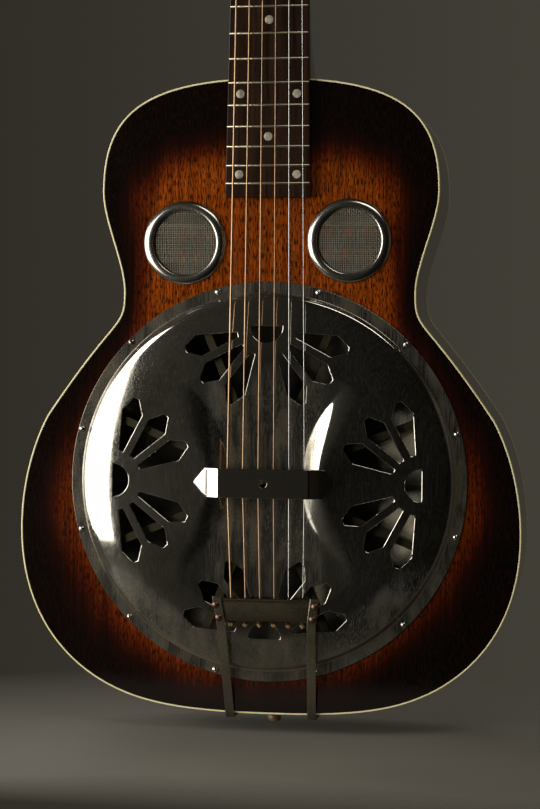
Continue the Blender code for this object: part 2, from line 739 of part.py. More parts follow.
def strings():
    for index, radius in enumerate(STRING_RADII):
        name = "string_%d" % (6 - index)
        curve = bpy.data.curves.new(name, "CURVE")
        curve.dimensions = "3D"
        curve.bevel_depth = radius
        curve.bevel_resolution = 1
        curve.use_fill_caps = True
        path = string_path(index)
        spline = curve.splines.new("POLY")
        spline.points.add(len(path) - 1)
        for point, place in zip(spline.points, path):
            point.co = (*place, 1)
        show(name, curve, "wound" if index < 4 else "steel")


# ---------------------------------------------------------------- tailpiece
def tailpiece():
    """A string plate with a turned-down edge, two straps over the tail and their bracket."""
    low, high = TAIL_SHEET_LIFT, TAIL_SHEET_LIFT + TAIL_SHEET
    build = bmesh.new()
    corners = ((TAIL_TOP, TAIL_HALF_TOP), (TAIL_BOTTOM, TAIL_HALF_BOTTOM))
    loop = [(TAIL_DRIFT + half, z) for z, half in reversed(corners)]
    loop += [(TAIL_DRIFT - half, z) for z, half in corners]
    prism(build, loop, low, high, FACE)
    plate = mesh_piece("tailpiece_plate", build, "nickel")
    flange = bmesh.new()
    half = TAIL_HALF_BOTTOM - 2 * MM
    side = [(TAIL_DRIFT - half, TAIL_BOTTOM), (TAIL_DRIFT + half, TAIL_BOTTOM),
            (TAIL_DRIFT + half, TAIL_BOTTOM + TAIL_SHEET), (TAIL_DRIFT - half, TAIL_BOTTOM + TAIL_SHEET)]
    prism(flange, side, TAIL_LIFT - 4 * MM, high - 0.2 * MM, FACE)
    combine(plate, cutter("tailpiece_flange", flange), "UNION")
    notches = bmesh.new()
    for index, radius in enumerate(STRING_RADII):
        x = TAIL_DRIFT + (index / 5 - 0.5) * TAIL_SPREAD
        aim = Matrix.Translation((x, -TAIL_LIFT, TAIL_BOTTOM))
        cylinder(notches, radius + 0.4 * MM, -2 * MM, 3 * MM, aim, 10)
    combine(plate, cutter("string_notches", notches))

    over = high + GAP
    ends = {"bass": (TAIL_DRIFT - TAIL_HALF_TOP + 3.4 * MM, TAIL_DRIFT - TAIL_HALF_BOTTOM - 0.6 * MM),
            "treble": (TAIL_DRIFT + TAIL_HALF_TOP - 3.4 * MM, TAIL_DRIFT + TAIL_HALF_BOTTOM + 1.6 * MM)}
    tail = BODY_BOTTOM - 2 * MM
    for side_name, (x_top, x_low) in ends.items():
        foot = LEG_FEET[side_name]
        route = ((x_top, over, TAIL_TOP + 1 * MM), (x_low, over, TAIL_BOTTOM - 1 * MM),
                 (foot, 1.4 * MM, -163.4 * MM), (foot, 0.4 * MM, -166.6 * MM),
                 (foot, -1.6 * MM, tail), (foot, -24 * MM, tail))
        half = LEG_WIDTH / 2
        stations = [((x - half, -lift, z), (x + half, -lift, z)) for x, lift, z in route]
        ribbon("tailpiece_leg_" + side_name, stations, LEG_SHEET, "nickel")

    bass, treble = LEG_FEET["bass"] - 4 * MM, LEG_FEET["treble"] + 4 * MM
    pin_y = -END_PIN_LIFT
    turns = [pi * i / 8 for i in range(9)]
    arc = [(BRACKET_BOSS * cos(turn), pin_y + BRACKET_BOSS * sin(turn)) for turn in turns]
    bracket = [(bass, BRACKET_LOW), (bass, BRACKET_TOP), (treble, BRACKET_TOP), (treble, BRACKET_LOW)] + arc
    hole = circle(END_PIN_HOLE + 0.2 * MM, (0, pin_y), 20)
    level = Matrix.Translation((0, 0, BODY_BOTTOM - GAP - 0.6 * MM))
    flat_piece("tail_bracket", [bracket, hole], 1.2 * MM, level, "nickel")

    pin = ((0, 26), (3.5, 26), (3.5, -2.2), (4.6, -2.2), (4.1, -5.5), (4.9, -9.0), (4.9, -10.4), (3.6, -11.6),
           (0, -11.9))
    place = Matrix.Translation((0, pin_y, BODY_BOTTOM))
    turned("end_pin", [(r * MM, z * MM) for r, z in pin], "button", place, 20)


# ---------------------------------------------------------------- tuners
def tuners():
    """Two plates of three machines; each worm shaft turns a wheel on the end of its string post."""
    back_face = -HEADSTOCK_DEPTH - GAP
    plate_low = back_face - TUNER_PLATE
    wheel_top = plate_low - GAP
    wheel_low = wheel_top - WHEEL_THICKNESS
    waist = GAP + OVERLAY + 3 * MM
    holes, bores = bmesh.new(), bmesh.new()
    for number, (x, station) in enumerate(post_places()):
        side = -1 if x < 0 else 1
        string = 6 - number
        post = ((0, POST_TOP), (2.6 * MM, POST_TOP), (POST_RADIUS, POST_TOP - 0.5 * MM), (POST_RADIUS, waist),
                (POST_RADIUS, wheel_top), (WHEEL_RADIUS, wheel_top), (WHEEL_RADIUS, wheel_low),
                (2.6 * MM, wheel_low), (2.4 * MM, wheel_low - 1.4 * MM), (0, wheel_low - 1.8 * MM))
        turned("string_post_%d" % string, post, "steel", on_headstock(x, station, 0), 14)
        hole_place = on_headstock(x, station, 0)
        cylinder(holes, POST_RADIUS + GAP, plate_low - 1 * MM, back_face + 1 * MM, hole_place, 16)

        level = (wheel_top + wheel_low) / 2
        axis = on_headstock(x, station + WORM_OFFSET, level) @ Matrix.Rotation(side * radians(90), 4, "Y")
        cylinder(bores, SHAFT_RADIUS + 0.15 * MM, -12 * MM, 12 * MM, axis, 12)
        end = BUTTON_START - POST_X
        shaft = ((0, end), (2.0 * MM, end), (2.0 * MM, end - 4 * MM), (3.2 * MM, end - 5 * MM),
                 (3.2 * MM, end - 7 * MM), (SHAFT_RADIUS, end - 8 * MM), (SHAFT_RADIUS, WORM_HALF),
                 (WORM_RADIUS, WORM_HALF), (WORM_RADIUS, -WORM_HALF), (SHAFT_RADIUS, -WORM_HALF),
                 (SHAFT_RADIUS, -9 * MM), (0, -9 * MM))
        turned("worm_shaft_%d" % string, shaft, "steel", axis, 12)
        button(string, axis @ Matrix.Translation((0, 0, end + GAP)))

    hole_tool = cutter("plate_holes", holes)
    bore_tool = cutter("worm_bores", bores)
    first, last = POST_STATIONS[0] - 14 * MM, POST_STATIONS[-1] + 16 * MM
    for name, side in (("bass_tuner_plate", -1), ("treble_tuner_plate", 1)):
        middle = side * POST_X
        build = bmesh.new()
        strip = rectangle(middle - TUNER_PLATE_HALF, middle + TUNER_PLATE_HALF, first, last)
        prism(build, strip, plate_low, back_face, on_headstock(0, 0, 0))
        plate = mesh_piece(name, build, "nickel")
        ears = bmesh.new()
        for station in POST_STATIONS:
            for offset in (-EAR_OFFSET, EAR_OFFSET):
                x = middle + offset
                low = station + WORM_OFFSET - 3 * MM
                ear = rectangle(x - EAR_SHEET / 2, x + EAR_SHEET / 2, low, low + 6 * MM)
                prism(ears, ear, wheel_low - 0.6 * MM, plate_low + 0.5 * MM, on_headstock(0, 0, 0))
        combine(plate, cutter(name + "_ears", ears), "UNION")
        combine(plate, hole_tool)
        combine(plate, bore_tool)


def button(string, place):
    """An oval cream knob, flat across the headstock's plane."""
    build = bmesh.new()
    bmesh.ops.create_uvsphere(build, u_segments=12, v_segments=8, radius=1)
    for point in build.verts:
        x, y, z = point.co
        grown = 1 + 0.25 * z
        point.co = (4.0 * MM * x * grown, 7.0 * MM * y * grown, (1 + z) * BUTTON_LENGTH / 2)
    mesh_piece("tuner_button_%d" % string, build, "button", place).data.shade_smooth()


# ---------------------------------------------------------------- assembly
tail_hole = bmesh.new()
cylinder(tail_hole, END_PIN_HOLE, -2 * MM, 27 * MM, Matrix(), 20)
pin_hole = cutter("pin_hole", tail_hole, Matrix.Translation((0, -END_PIN_LIFT, BODY_BOTTOM)))

soundboard()
back()
sides()
binding("top_binding", -BINDING_DEPTH / 2)
binding("back_binding", BINDING_DEPTH / 2 - BODY_DEPTH)
linings()
blocks_and_braces()
soundwell()
cone()
spider()
saddles_and_screw()
coverplate()
hand_rest()
screens()
neck()
neck_trim()
strings()
tailpiece()
tuners()

for piece in list(guitar.objects) + list(cutters.objects):
    piece.location -= HANGER
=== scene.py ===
"""The looks of the resonator guitar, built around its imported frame.

Shapes are drawn in the guitar's own frame, in metres: across to the treble side, along the neck from
the saddle, and lift out of the soundboard's face. FRONT turns those three into the row frame.
"""
import json
from math import atan2, cos, hypot, pi, radians, sin, sqrt

import bmesh
import bpy
import numpy as np
from mathutils import Matrix, Vector
from mathutils.geometry import delaunay_2d_cdt


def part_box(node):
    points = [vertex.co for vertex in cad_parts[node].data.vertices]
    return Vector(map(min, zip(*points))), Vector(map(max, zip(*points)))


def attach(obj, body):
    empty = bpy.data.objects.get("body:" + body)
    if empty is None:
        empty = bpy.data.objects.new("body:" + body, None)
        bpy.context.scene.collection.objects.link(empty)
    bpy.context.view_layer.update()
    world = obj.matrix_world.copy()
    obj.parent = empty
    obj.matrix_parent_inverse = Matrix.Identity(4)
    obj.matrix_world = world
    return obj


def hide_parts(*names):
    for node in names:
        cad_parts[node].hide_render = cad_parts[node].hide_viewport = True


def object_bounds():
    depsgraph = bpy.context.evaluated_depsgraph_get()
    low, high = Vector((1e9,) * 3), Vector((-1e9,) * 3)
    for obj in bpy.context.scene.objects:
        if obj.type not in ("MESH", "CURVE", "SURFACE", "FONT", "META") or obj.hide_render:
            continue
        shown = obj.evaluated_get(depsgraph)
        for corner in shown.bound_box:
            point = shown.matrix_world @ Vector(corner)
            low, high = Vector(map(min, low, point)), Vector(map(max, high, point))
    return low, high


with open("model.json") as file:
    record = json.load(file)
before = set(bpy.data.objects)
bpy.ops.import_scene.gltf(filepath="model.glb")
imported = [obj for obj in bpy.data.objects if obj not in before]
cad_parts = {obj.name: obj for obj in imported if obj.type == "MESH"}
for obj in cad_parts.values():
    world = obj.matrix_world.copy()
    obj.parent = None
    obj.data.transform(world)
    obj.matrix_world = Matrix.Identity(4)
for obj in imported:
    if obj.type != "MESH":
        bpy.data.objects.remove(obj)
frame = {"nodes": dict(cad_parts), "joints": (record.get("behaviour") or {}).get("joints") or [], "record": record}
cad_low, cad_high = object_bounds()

MM = 0.001
JOINTS = {joint["name"]: joint for joint in frame["joints"]}


def size_of(node):
    low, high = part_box(node)
    return high - low


def middle_of(node):
    low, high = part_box(node)
    return (low + high) / 2


# ---------------------------------------------------------------- places and sizes from the frame
HOME = Vector((0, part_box("soundboard")[0].y, middle_of("bass_saddle").z))
FRONT = Matrix.Translation(HOME) @ Matrix.Rotation(radians(90), 4, "X")
BODY_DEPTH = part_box("back")[1].y - HOME.y
PLATE = size_of("soundboard").y
BINDING_WIDTH = 1.3 * MM
BINDING_DEPTH = size_of("top_binding").y
COVER_RADIUS = size_of("coverplate").x / 2
NUT_WIDTH = size_of("nut").x
NUT_LENGTH = size_of("nut").z
NUT_TOP = HOME.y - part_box("nut")[0].y
SCALE_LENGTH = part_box("nut")[0].z - HOME.z
BOARD_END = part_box("fingerboard")[0].z - HOME.z
BOARD_END_WIDTH = size_of("fingerboard").x
BOARD_TOP = HOME.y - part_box("fingerboard")[0].y
BODY_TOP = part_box("top_binding")[1].z - HOME.z
BODY_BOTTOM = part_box("top_binding")[0].z - HOME.z
SADDLE_TOP = HOME.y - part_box("bass_saddle")[0].y
FACE_AXIS = Vector(JOINTS["post_1_turn"]["axis"])
HEADSTOCK_TILT = atan2(FACE_AXIS.z, -FACE_AXIS.y)
NUT_END = SCALE_LENGTH + NUT_LENGTH
LEAN = Matrix.Rotation(radians(90) - HEADSTOCK_TILT, 4, "X")
HEAD = Matrix.Translation(HOME + Vector((0, 0, NUT_END))) @ LEAN

# the body's outline: point, direction of travel and the lengths of its two handles, bottom to top
BODY_CURVE = (
    ((0, -166.2), 0, 0, 42.5),
    ((90.7, -158.3), 14.7, 22.8, 48.8),
    ((180.9, -36.3), 90, 71.0, 49.2),
    ((160.6, 46.9), 124.1, 2.0, 89.0),
    ((105.2, 134.5), 90, 26.7, 21.5),
    ((121.2, 207.0), 90, 22.2, 54.3),
    ((0, 287.0), 180, 94.4, 0),
)
POINTS_PER_CURVE = 26
WELL_RADIUS = 134.6 * MM            # the soundboard's round holes
SCREEN_HOLE = 25.5 * MM

# coverplate
COVER_SHEET = 0.8 * MM
CROWN_LIFT = 12.6 * MM
CROWN_RADIUS = 35 * MM              # the dome's flat middle
RIM_START = 102 * MM                # from here the dome steepens towards the rim
FLANGE_LIFT = 1.1 * MM
INNER_SLOPE = 0.078                 # the dome's slope inside, and what it gains towards the rim
OUTER_GAIN = 0.09
STEP_START = 131.6 * MM             # the dome turns down to the flange between these radii
STEP_END = 135.0 * MM
CHANNEL_LIFT = 6.0 * MM             # the string channel between the two mounds
CHANNEL_RISE = 3.0 * MM             # how far its floor climbs towards the neck
RIM_GAIN = 0.12                     # the last steepening, just before the rim
TAIL_EASE = 0.75                    # how much of the steeper rim is missing at the tail
FAN_RADIUS = 111 * MM
D_HOLE_RADIUS = 11.5 * MM
PETAL_ANGLES = (-74, -50, -26, 26, 50, 74)
PETAL = ((21.8, 1.5), (50.5, 7.6), (60.5, 2.0))   # distance from the fan's centre, half width
ROLL = ((0.60, 0.0), (0.25, 0.20), (0.0, 0.55))   # punched edges: distance from the cut, drop
CUT_STEP = 2.5 * MM                 # the longest side of a punched edge

# strings, low to high
STRING_RADII = (0.70 * MM, 0.55 * MM, 0.43 * MM, 0.33 * MM, 0.23 * MM, 0.18 * MM)
NUT_SPREAD = 39.4 * MM
SADDLE_SPREAD = 55.1 * MM
TAIL_SPREAD = 51.5 * MM
SADDLE_DRIFT = 1.35 * MM
TAIL_DRIFT = 2.45 * MM
TAIL_LIFT = 10.4 * MM
TAIL_TOP = -81.6 * MM               # the tailpiece plate's edges
TAIL_BOTTOM = -98.6 * MM


# ---------------------------------------------------------------- wiring materials
class Nodes:
    """A node tree, with short ways to add nodes and join them."""

    def __init__(self, tree):
        self.tree = tree

    def put(self, socket, value):
        if isinstance(value, bpy.types.NodeSocket):
            self.tree.links.new(value, socket)
        else:
            socket.default_value = value

    def add(self, kind, inputs, **settings):
        node = self.tree.nodes.new(kind)
        for name, value in settings.items():
            setattr(node, name, value)
        for name, value in inputs.items():
            self.put(node.inputs[name], value)
        return node

    def place(self, stretch, attribute=None):
        """Where a point lies, in units of the pattern: on the object, or in a named attribute."""
        if attribute:
            source = self.add("ShaderNodeAttribute", {}, attribute_name=attribute).outputs["Vector"]
        else:
            source = self.add("ShaderNodeTexCoord", {}).outputs["Object"]
        return self.add("ShaderNodeMapping", {"Vector": source, "Scale": stretch}).outputs["Vector"]

    def noise(self, place, scale=1.0, detail=3.0, roughness=0.5):
        sockets = {"Vector": place, "Scale": scale, "Detail": detail, "Roughness": roughness}
        return self.add("ShaderNodeTexNoise", sockets).outputs["Fac"]

    def ramp(self, value, *stops):
        """Colours or grey levels at positions along a value."""
        node = self.add("ShaderNodeValToRGB", {"Fac": value})
        marks = node.color_ramp.elements
        while len(marks) < len(stops):
            marks.new(0.5)
        for mark, (position, colour) in zip(marks, stops):
            mark.position = position
            mark.color = (*colour, 1) if isinstance(colour, tuple) else (colour, colour, colour, 1)
        return node.outputs["Color"]

    def mix(self, share, first, second, blend="MIX"):
        node = self.add("ShaderNodeMix", {}, data_type="RGBA", blend_type=blend)
        for index, value in ((0, share), (6, first), (7, second)):
            if isinstance(value, tuple):
                value = (*value, 1)
            self.put(node.inputs[index], value)
        return node.outputs[2]

    def patches(self, stretch, low, high, **look):
        """Noise as patches: 0 where it is below the low level, 1 where it is above the high one."""
        return self.ramp(self.noise(self.place(stretch), **look), (low, 0.0), (high, 1.0))

    def math(self, operation, first, second, clamp=False):
        sockets = {0: first, 1: second}
        return self.add("ShaderNodeMath", sockets, operation=operation, use_clamp=clamp).outputs[0]

    def times(self, first, second):
        return self.math("MULTIPLY", first, second)

    def plus(self, first, second, clamp=False):
        return self.math("ADD", first, second, clamp)

    def minus(self, first, second):
        return self.math("SUBTRACT", first, second)

    def larger(self, first, second):
        return self.math("MAXIMUM", first, second)


class Wiring(Nodes):
    """One material and its shader."""

    def __init__(self, name):
        self.material = bpy.data.materials.new(name)
        self.material.use_nodes = True
        super().__init__(self.material.node_tree)
        self.shader = self.tree.nodes["Principled BSDF"]

    def bump(self, height, strength, depth):
        sockets = {"Height": height, "Strength": strength, "Distance": depth}
        node = self.add("ShaderNodeBump", sockets)
        self.put(self.shader.inputs["Normal"], node.outputs["Normal"])

    def finish(self, **sockets):
        for name, value in sockets.items():
            if isinstance(value, tuple):
                value = (*value, 1)
            self.put(self.shader.inputs[name.replace("_", " ")], value)
        return self.material


# ---------------------------------------------------------------- materials
def sunburst_wood():
    """Mahogany under a gloss sunburst: black at the edge, dark red, then orange brown."""
    w = Wiring("sunburst_mahogany")
    burst = w.add("ShaderNodeAttribute", {}, attribute_name="burst").outputs["Fac"]
    figure = w.noise(w.place((75, 75, 5), "grain"), detail=2)
    streaks = w.noise(w.place((520, 520, 16), "grain"), detail=4, roughness=0.6)
    pores = w.noise(w.place((1050, 1050, 190), "grain"), detail=2, roughness=0.5)
    cloud = w.noise(w.place((14, 14, 9), "grain"), detail=1)
    level = w.plus(burst, w.times(w.minus(figure, 0.5), 0.22))
    level = w.plus(level, w.times(w.minus(cloud, 0.5), 0.16), clamp=True)
    stain = w.ramp(level, (0.0, (0.0014, 0.0010, 0.0007)), (0.30, (0.0022, 0.0012, 0.0007)),
                   (0.48, (0.018, 0.0025, 0.0007)), (0.66, (0.085, 0.0110, 0.0011)),
                   (0.84, (0.200, 0.0320, 0.0018)), (1.0, (0.310, 0.0580, 0.0026)))
    tone = w.ramp(streaks, (0.32, 0.36), (0.52, 0.88), (0.70, 1.50))
    stain = w.mix(1.0, stain, tone, "MULTIPLY")
    pits = w.ramp(pores, (0.49, 0.0), (0.59, 1.0))
    colour = w.mix(w.times(pits, 0.84), stain, (0.010, 0.0022, 0.0006))
    smudge = w.noise(w.place((30, 30, 22), "grain"), detail=4)
    gloss = w.ramp(smudge, (0.35, 0.07), (0.7, 0.13))
    wear = w.noise(w.place((420, 420, 200), "grain"), detail=2)
    height = w.plus(w.times(pits, -0.5), w.times(wear, 0.25))
    w.bump(height, 0.16, 0.10 * MM)
    return w.finish(Base_Color=colour, Roughness=gloss, Coat_Weight=0.4, Coat_Roughness=0.04)


def plain_wood(name, dark, light, roughness, pore=0.45, gloss=0.5):
    """Unstained wood: long streaks and small pores along the up axis; gloss scales its shine."""
    w = Wiring(name)
    streaks = w.noise(w.place((300, 300, 12)), detail=5, roughness=0.62)
    pores = w.noise(w.place((2000, 2000, 160)), detail=2)
    pits = w.times(w.ramp(pores, (0.58, 0.0), (0.66, 1.0)), pore)
    colour = w.ramp(streaks, (0.28, dark), (0.72, light))
    colour = w.mix(pits, colour, tuple(0.25 * part for part in dark))
    rough = w.ramp(streaks, (0.2, roughness - 0.08), (0.8, roughness + 0.08))
    w.bump(w.minus(streaks, pits), 0.3 * gloss, 0.15 * MM)
    return w.finish(Base_Color=colour, Roughness=rough, Specular_IOR_Level=gloss)


def gloss_black():
    w = Wiring("headstock_black")
    grain = w.noise(w.place((700, 700, 40)), detail=4)
    dust = w.noise(w.place((60, 60, 60)), detail=4)
    colour = w.ramp(grain, (0.3, (0.006, 0.005, 0.004)), (0.75, (0.020, 0.015, 0.011)))
    w.bump(grain, 0.12, 0.1 * MM)
    return w.finish(Base_Color=colour, Roughness=w.ramp(dust, (0.35, 0.16), (0.7, 0.34)), Coat_Weight=0.5,
                    Coat_Roughness=0.08)


def aged_plastic(name, fresh, yellowed, roughness):
    """Celluloid, bone or button plastic: cloudy, with hairlines and grime."""
    w = Wiring(name)
    cloud = w.noise(w.place((90, 90, 35)), detail=5, roughness=0.6)
    grime = w.noise(w.place((700, 700, 260)), detail=4, roughness=0.65)
    colour = w.ramp(cloud, (0.32, yellowed), (0.66, fresh))
    dirt = w.ramp(grime, (0.58, 0.0), (0.78, 0.22))
    colour = w.mix(dirt, colour, tuple(0.45 * part for part in yellowed))
    w.bump(grime, 0.06, 0.08 * MM)
    rough = w.ramp(cloud, (0.3, roughness), (0.75, roughness + 0.15))
    return w.finish(Base_Color=colour, Roughness=rough)


def metal(name, bright, tarnish, roughness, scratches=(5200, 5200, 70), haze=0.07, wear=0.5):
    """Plated or bare metal with hairline scratches along one way, haze and dull spots."""
    w = Wiring(name)
    cloud = w.noise(w.place((26, 26, 26)), detail=6, roughness=0.6)
    hair = w.noise(w.place(scratches), detail=2, roughness=0.5)
    cross = w.noise(w.place((300, 300, 2400)), detail=2)
    spots = w.noise(w.place((520, 520, 520)), detail=3, roughness=0.7)
    lines = w.ramp(w.larger(hair, w.minus(cross, 0.03)), (0.56, 0.0), (0.72, 1.0))
    dull = w.ramp(cloud, (0.42, 0.0), (0.72, 1.0))
    speck = w.ramp(spots, (0.64, 0.0), (0.74, 1.0))
    colour = w.mix(w.times(dull, wear), bright, tarnish)
    colour = w.mix(w.times(speck, 0.6), colour, tuple(0.3 * part for part in tarnish))
    rough = w.plus(w.times(dull, haze), roughness)
    rough = w.plus(rough, w.times(lines, 0.07), clamp=True)
    w.bump(w.plus(lines, w.times(cloud, 0.6)), 0.03, 0.02 * MM)
    return w.finish(Base_Color=colour, Metallic=1.0, Roughness=rough)


def spun_metal_in_shade():
    """The cone: rings left by the spinning tool, around the guitar's middle; its colour is kept very dark as
    painted shade inside the body.
    """
    w = Wiring("spun_aluminium")
    source = w.add("ShaderNodeTexCoord", {}).outputs["Object"]
    moved = w.add("ShaderNodeMapping", {"Vector": source, "Location": tuple(-HOME)}).outputs["Vector"]
    rings = w.add("ShaderNodeTexWave", {"Vector": moved, "Scale": 380.0, "Distortion": 1.2, "Detail": 3.0},
                  wave_type="RINGS", rings_direction="Y").outputs["Fac"]
    cloud = w.noise(w.place((40, 40, 40)), detail=5)
    # painted shade: the cone's colour is far darker than bare aluminium, standing for the shade inside the body
    colour = w.ramp(cloud, (0.3, (0.05, 0.045, 0.032)), (0.7, (0.14, 0.13, 0.10)))
    w.bump(rings, 0.2, 0.1 * MM)
    return w.finish(Base_Color=colour, Metallic=1.0, Roughness=w.ramp(cloud, (0.3, 0.30), (0.7, 0.48)))


def wound_wire():
    """Bronze wire wrapped round a core; the wraps show as fine bands up the string, with painted shade in the
    grooves between them.
    """
    w = Wiring("wound_bronze")
    wraps = w.add("ShaderNodeTexWave", {"Vector": w.place((1, 1, 1)), "Scale": 900.0, "Distortion": 0.0},
                  wave_type="BANDS", bands_direction="Z").outputs["Fac"]
    cloud = w.noise(w.place((200, 200, 30)), detail=4)
    colour = w.ramp(cloud, (0.3, (0.34, 0.205, 0.115)), (0.7, (0.54, 0.36, 0.22)))
    # painted shade: dark lines in the grooves between the wraps
    colour = w.mix(w.ramp(wraps, (0.0, 0.5), (0.3, 0.0)), colour, (0.12, 0.07, 0.04))
    w.bump(wraps, 0.2, 0.05 * MM)
    return w.finish(Base_Color=colour, Metallic=1.0, Roughness=w.ramp(cloud, (0.3, 0.26), (0.7, 0.42)))


def pearl():
    w = Wiring("pearl")
    swirl = w.noise(w.place((420, 420, 420)), detail=3)
    colour = w.ramp(swirl, (0.3, (0.24, 0.21, 0.155)), (0.5, (0.42, 0.385, 0.30)),
                    (0.7, (0.52, 0.46, 0.36)))
    w.bump(swirl, 0.1, 0.05 * MM)
    return w.finish(Base_Color=colour, Roughness=w.ramp(swirl, (0.3, 0.18), (0.7, 0.34)), Coat_Weight=0.3)


def pressed_nickel():
    """Old nickel plate: polished on the mounds, hazed and grimy in the channel and on the flange, hazed, grimy and
    darkened as painted shade at the tail rim, with a dull brown band of painted shade on the rim's step.
    """
    w = Wiring("coverplate_nickel")
    dull = w.add("ShaderNodeAttribute", {}, attribute_name="dull").outputs["Fac"]
    cloud = w.patches((24, 24, 24), 0.42, 0.72, detail=6, roughness=0.6)
    mottle = w.patches((620, 620, 380), 0.40, 0.72, detail=4, roughness=0.6)
    hair = w.patches((3600, 3600, 60), 0.50, 0.70, detail=2)
    smudge = w.patches((75, 75, 30), 0.44, 0.66, detail=5, roughness=0.62)
    speck = w.patches((900, 900, 900), 0.68, 0.74, detail=2)
    colour = w.mix(w.times(cloud, 0.8), NICKEL, (0.22, 0.205, 0.165))
    brown = w.times(w.times(dull, smudge), 0.6)
    # darker where dull: tarnish in the channel and on the flange, painted shade at the tail rim
    colour = w.mix(w.times(dull, 0.8), colour, (0.105, 0.098, 0.078))
    colour = w.mix(brown, colour, (0.20, 0.155, 0.085))
    colour = w.mix(w.times(mottle, 0.30), colour, (0.19, 0.18, 0.15))
    colour = w.mix(w.times(speck, 0.5), colour, (0.06, 0.05, 0.035))
    rough = w.plus(w.times(mottle, 0.035), w.times(cloud, 0.03))
    rough = w.plus(rough, w.times(hair, 0.05))
    haze = w.times(dull, w.plus(w.times(smudge, 0.10), 0.15))
    rough = w.plus(w.plus(rough, haze), 0.036)
    grime = w.times(dull, w.larger(w.times(smudge, 0.7), hair))
    spread = w.plus(w.times(mottle, 0.03), w.times(hair, 0.05))
    grime = w.plus(grime, spread, clamp=True)
    colour = w.mix(w.times(grime, 0.85), colour, (0.060, 0.051, 0.031))
    # painted shade: a dull brown, less metallic band on the rim's step, darkest on the right and below
    band = w.add("ShaderNodeAttribute", {}, attribute_name="band").outputs["Fac"]
    colour = w.mix(band, colour, (0.150, 0.128, 0.085))
    clean = w.ramp(grime, (0.0, 1.0), (1.0, 0.35))
    bare = w.times(clean, w.ramp(band, (0.0, 1.0), (1.0, 0.3)))
    w.bump(w.plus(w.times(hair, 0.5), mottle), 0.035, 0.02 * MM)
    return w.finish(Base_Color=colour, Metallic=bare, Roughness=rough)


NICKEL = (0.56, 0.535, 0.475)
NICKEL_DULL = (0.33, 0.305, 0.25)
FINISHES = {
    "mahogany": sunburst_wood(),
    "bare_wood": plain_wood("bare_wood", (0.055, 0.028, 0.013), (0.11, 0.062, 0.032), 0.62),
    "binding": aged_plastic("binding", (0.97, 0.90, 0.56), (0.90, 0.76, 0.36), 0.24),
    "nickel": metal("aged_nickel", NICKEL, NICKEL_DULL, 0.06),
    "spun_aluminium": spun_metal_in_shade(),
    "rosewood": plain_wood("rosewood", (0.0035, 0.0015, 0.0008), (0.041, 0.0165, 0.0075), 0.34,
                           pore=0.8, gloss=0.15),
    "overlay": gloss_black(),
    "bone": aged_plastic("bone", (0.80, 0.74, 0.60), (0.62, 0.52, 0.34), 0.28),
    "maple": plain_wood("maple", (0.46, 0.31, 0.16), (0.66, 0.48, 0.28), 0.45),
    "wound_bronze": wound_wire(),
    "steel": metal("plain_steel", (0.66, 0.66, 0.65), (0.42, 0.40, 0.36), 0.18),
    "cream_plastic": aged_plastic("cream_buttons", (0.84, 0.78, 0.58), (0.66, 0.55, 0.32), 0.2),
}
COVER_NICKEL = pressed_nickel()
TAIL_NICKEL = metal("dull_nickel", (0.17, 0.14, 0.095), (0.045, 0.035, 0.022), 0.24,
                    (140, 2600, 2600), haze=0.16, wear=1.0)
STRAP_STEEL = metal("strap_steel", (0.34, 0.31, 0.24), (0.11, 0.095, 0.065), 0.22,
                    (2600, 2600, 140), haze=0.16, wear=0.9)
RING_NICKEL = metal("brushed_nickel", (0.46, 0.44, 0.39), (0.30, 0.28, 0.23), 0.17)
SCREEN_WIRE = metal("screen_wire", (0.18, 0.162, 0.125), (0.085, 0.072, 0.052), 0.34)
RIVET_COPPER = metal("worn_rivets", (0.16, 0.088, 0.062), (0.08, 0.045, 0.032), 0.34)
BRASS = metal("brass", (0.85, 0.62, 0.34), (0.50, 0.34, 0.17), 0.28)
FRET_NICKEL = metal("fret_nickel", (0.46, 0.42, 0.30), (0.30, 0.26, 0.17), 0.30)
# painted shade: the spider's cast metal is darkened far below its own colour, standing for the shade inside the
# body
SHADED_CAST_ALLOY = metal("cast_alloy_painted_shade", (0.06, 0.052, 0.032), (0.035, 0.03, 0.018), 0.36)
PEARL = pearl()
AMBER = aged_plastic("amber_pin", (0.36, 0.26, 0.12), (0.22, 0.145, 0.055), 0.24)

for part in frame["record"]["subparts"]:
    node = frame["nodes"][part["node"]]
    node.data.materials.clear()
    node.data.materials.append(FINISHES[part["material_slot"]])
spider_materials = frame["nodes"]["spider_bridge"].data.materials
spider_materials.clear()
spider_materials.append(SHADED_CAST_ALLOY)


# ---------------------------------------------------------------- making pieces
def keep(piece, finish, *nodes, body="guitar"):
    """Give a piece its finish, let it stand for CAD nodes, and let it ride on its body."""
    if isinstance(finish, str):
        material = FINISHES[finish]
    else:
        material = finish
    piece.data.materials.append(material)
    if nodes:
        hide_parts(*nodes)
    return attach(piece, body)


def mesh_piece(name, shape, place=FRONT, crease=32):
    """A mesh object from points and faces, its points laid in the row frame."""
    points, faces = shape
    build = bmesh.new()
    verts = [build.verts.new(place @ Vector(point)) for point in points]
    for face in faces:
        build.faces.new([verts[i] for i in face])
    bmesh.ops.recalc_face_normals(build, faces=build.faces)
    mesh = bpy.data.meshes.new(name)
    build.to_mesh(mesh)
    build.free()
    mesh.shade_smooth()
    mesh.set_sharp_from_angle(angle=radians(crease))
    piece = bpy.data.objects.new(name, mesh)
    bpy.context.scene.collection.objects.link(piece)
    return piece


def joined(*shapes):
    """Several shapes as one list of points and one of faces."""
    points, faces = [], []
    for more_points, more_faces in shapes:
        first = len(points)
        points += list(more_points)
        faces += [tuple(i + first for i in face) for face in more_faces]
    return points, faces


def moved(shape, place):
    points, faces = shape
    return [place @ Vector(point) for point in points], faces


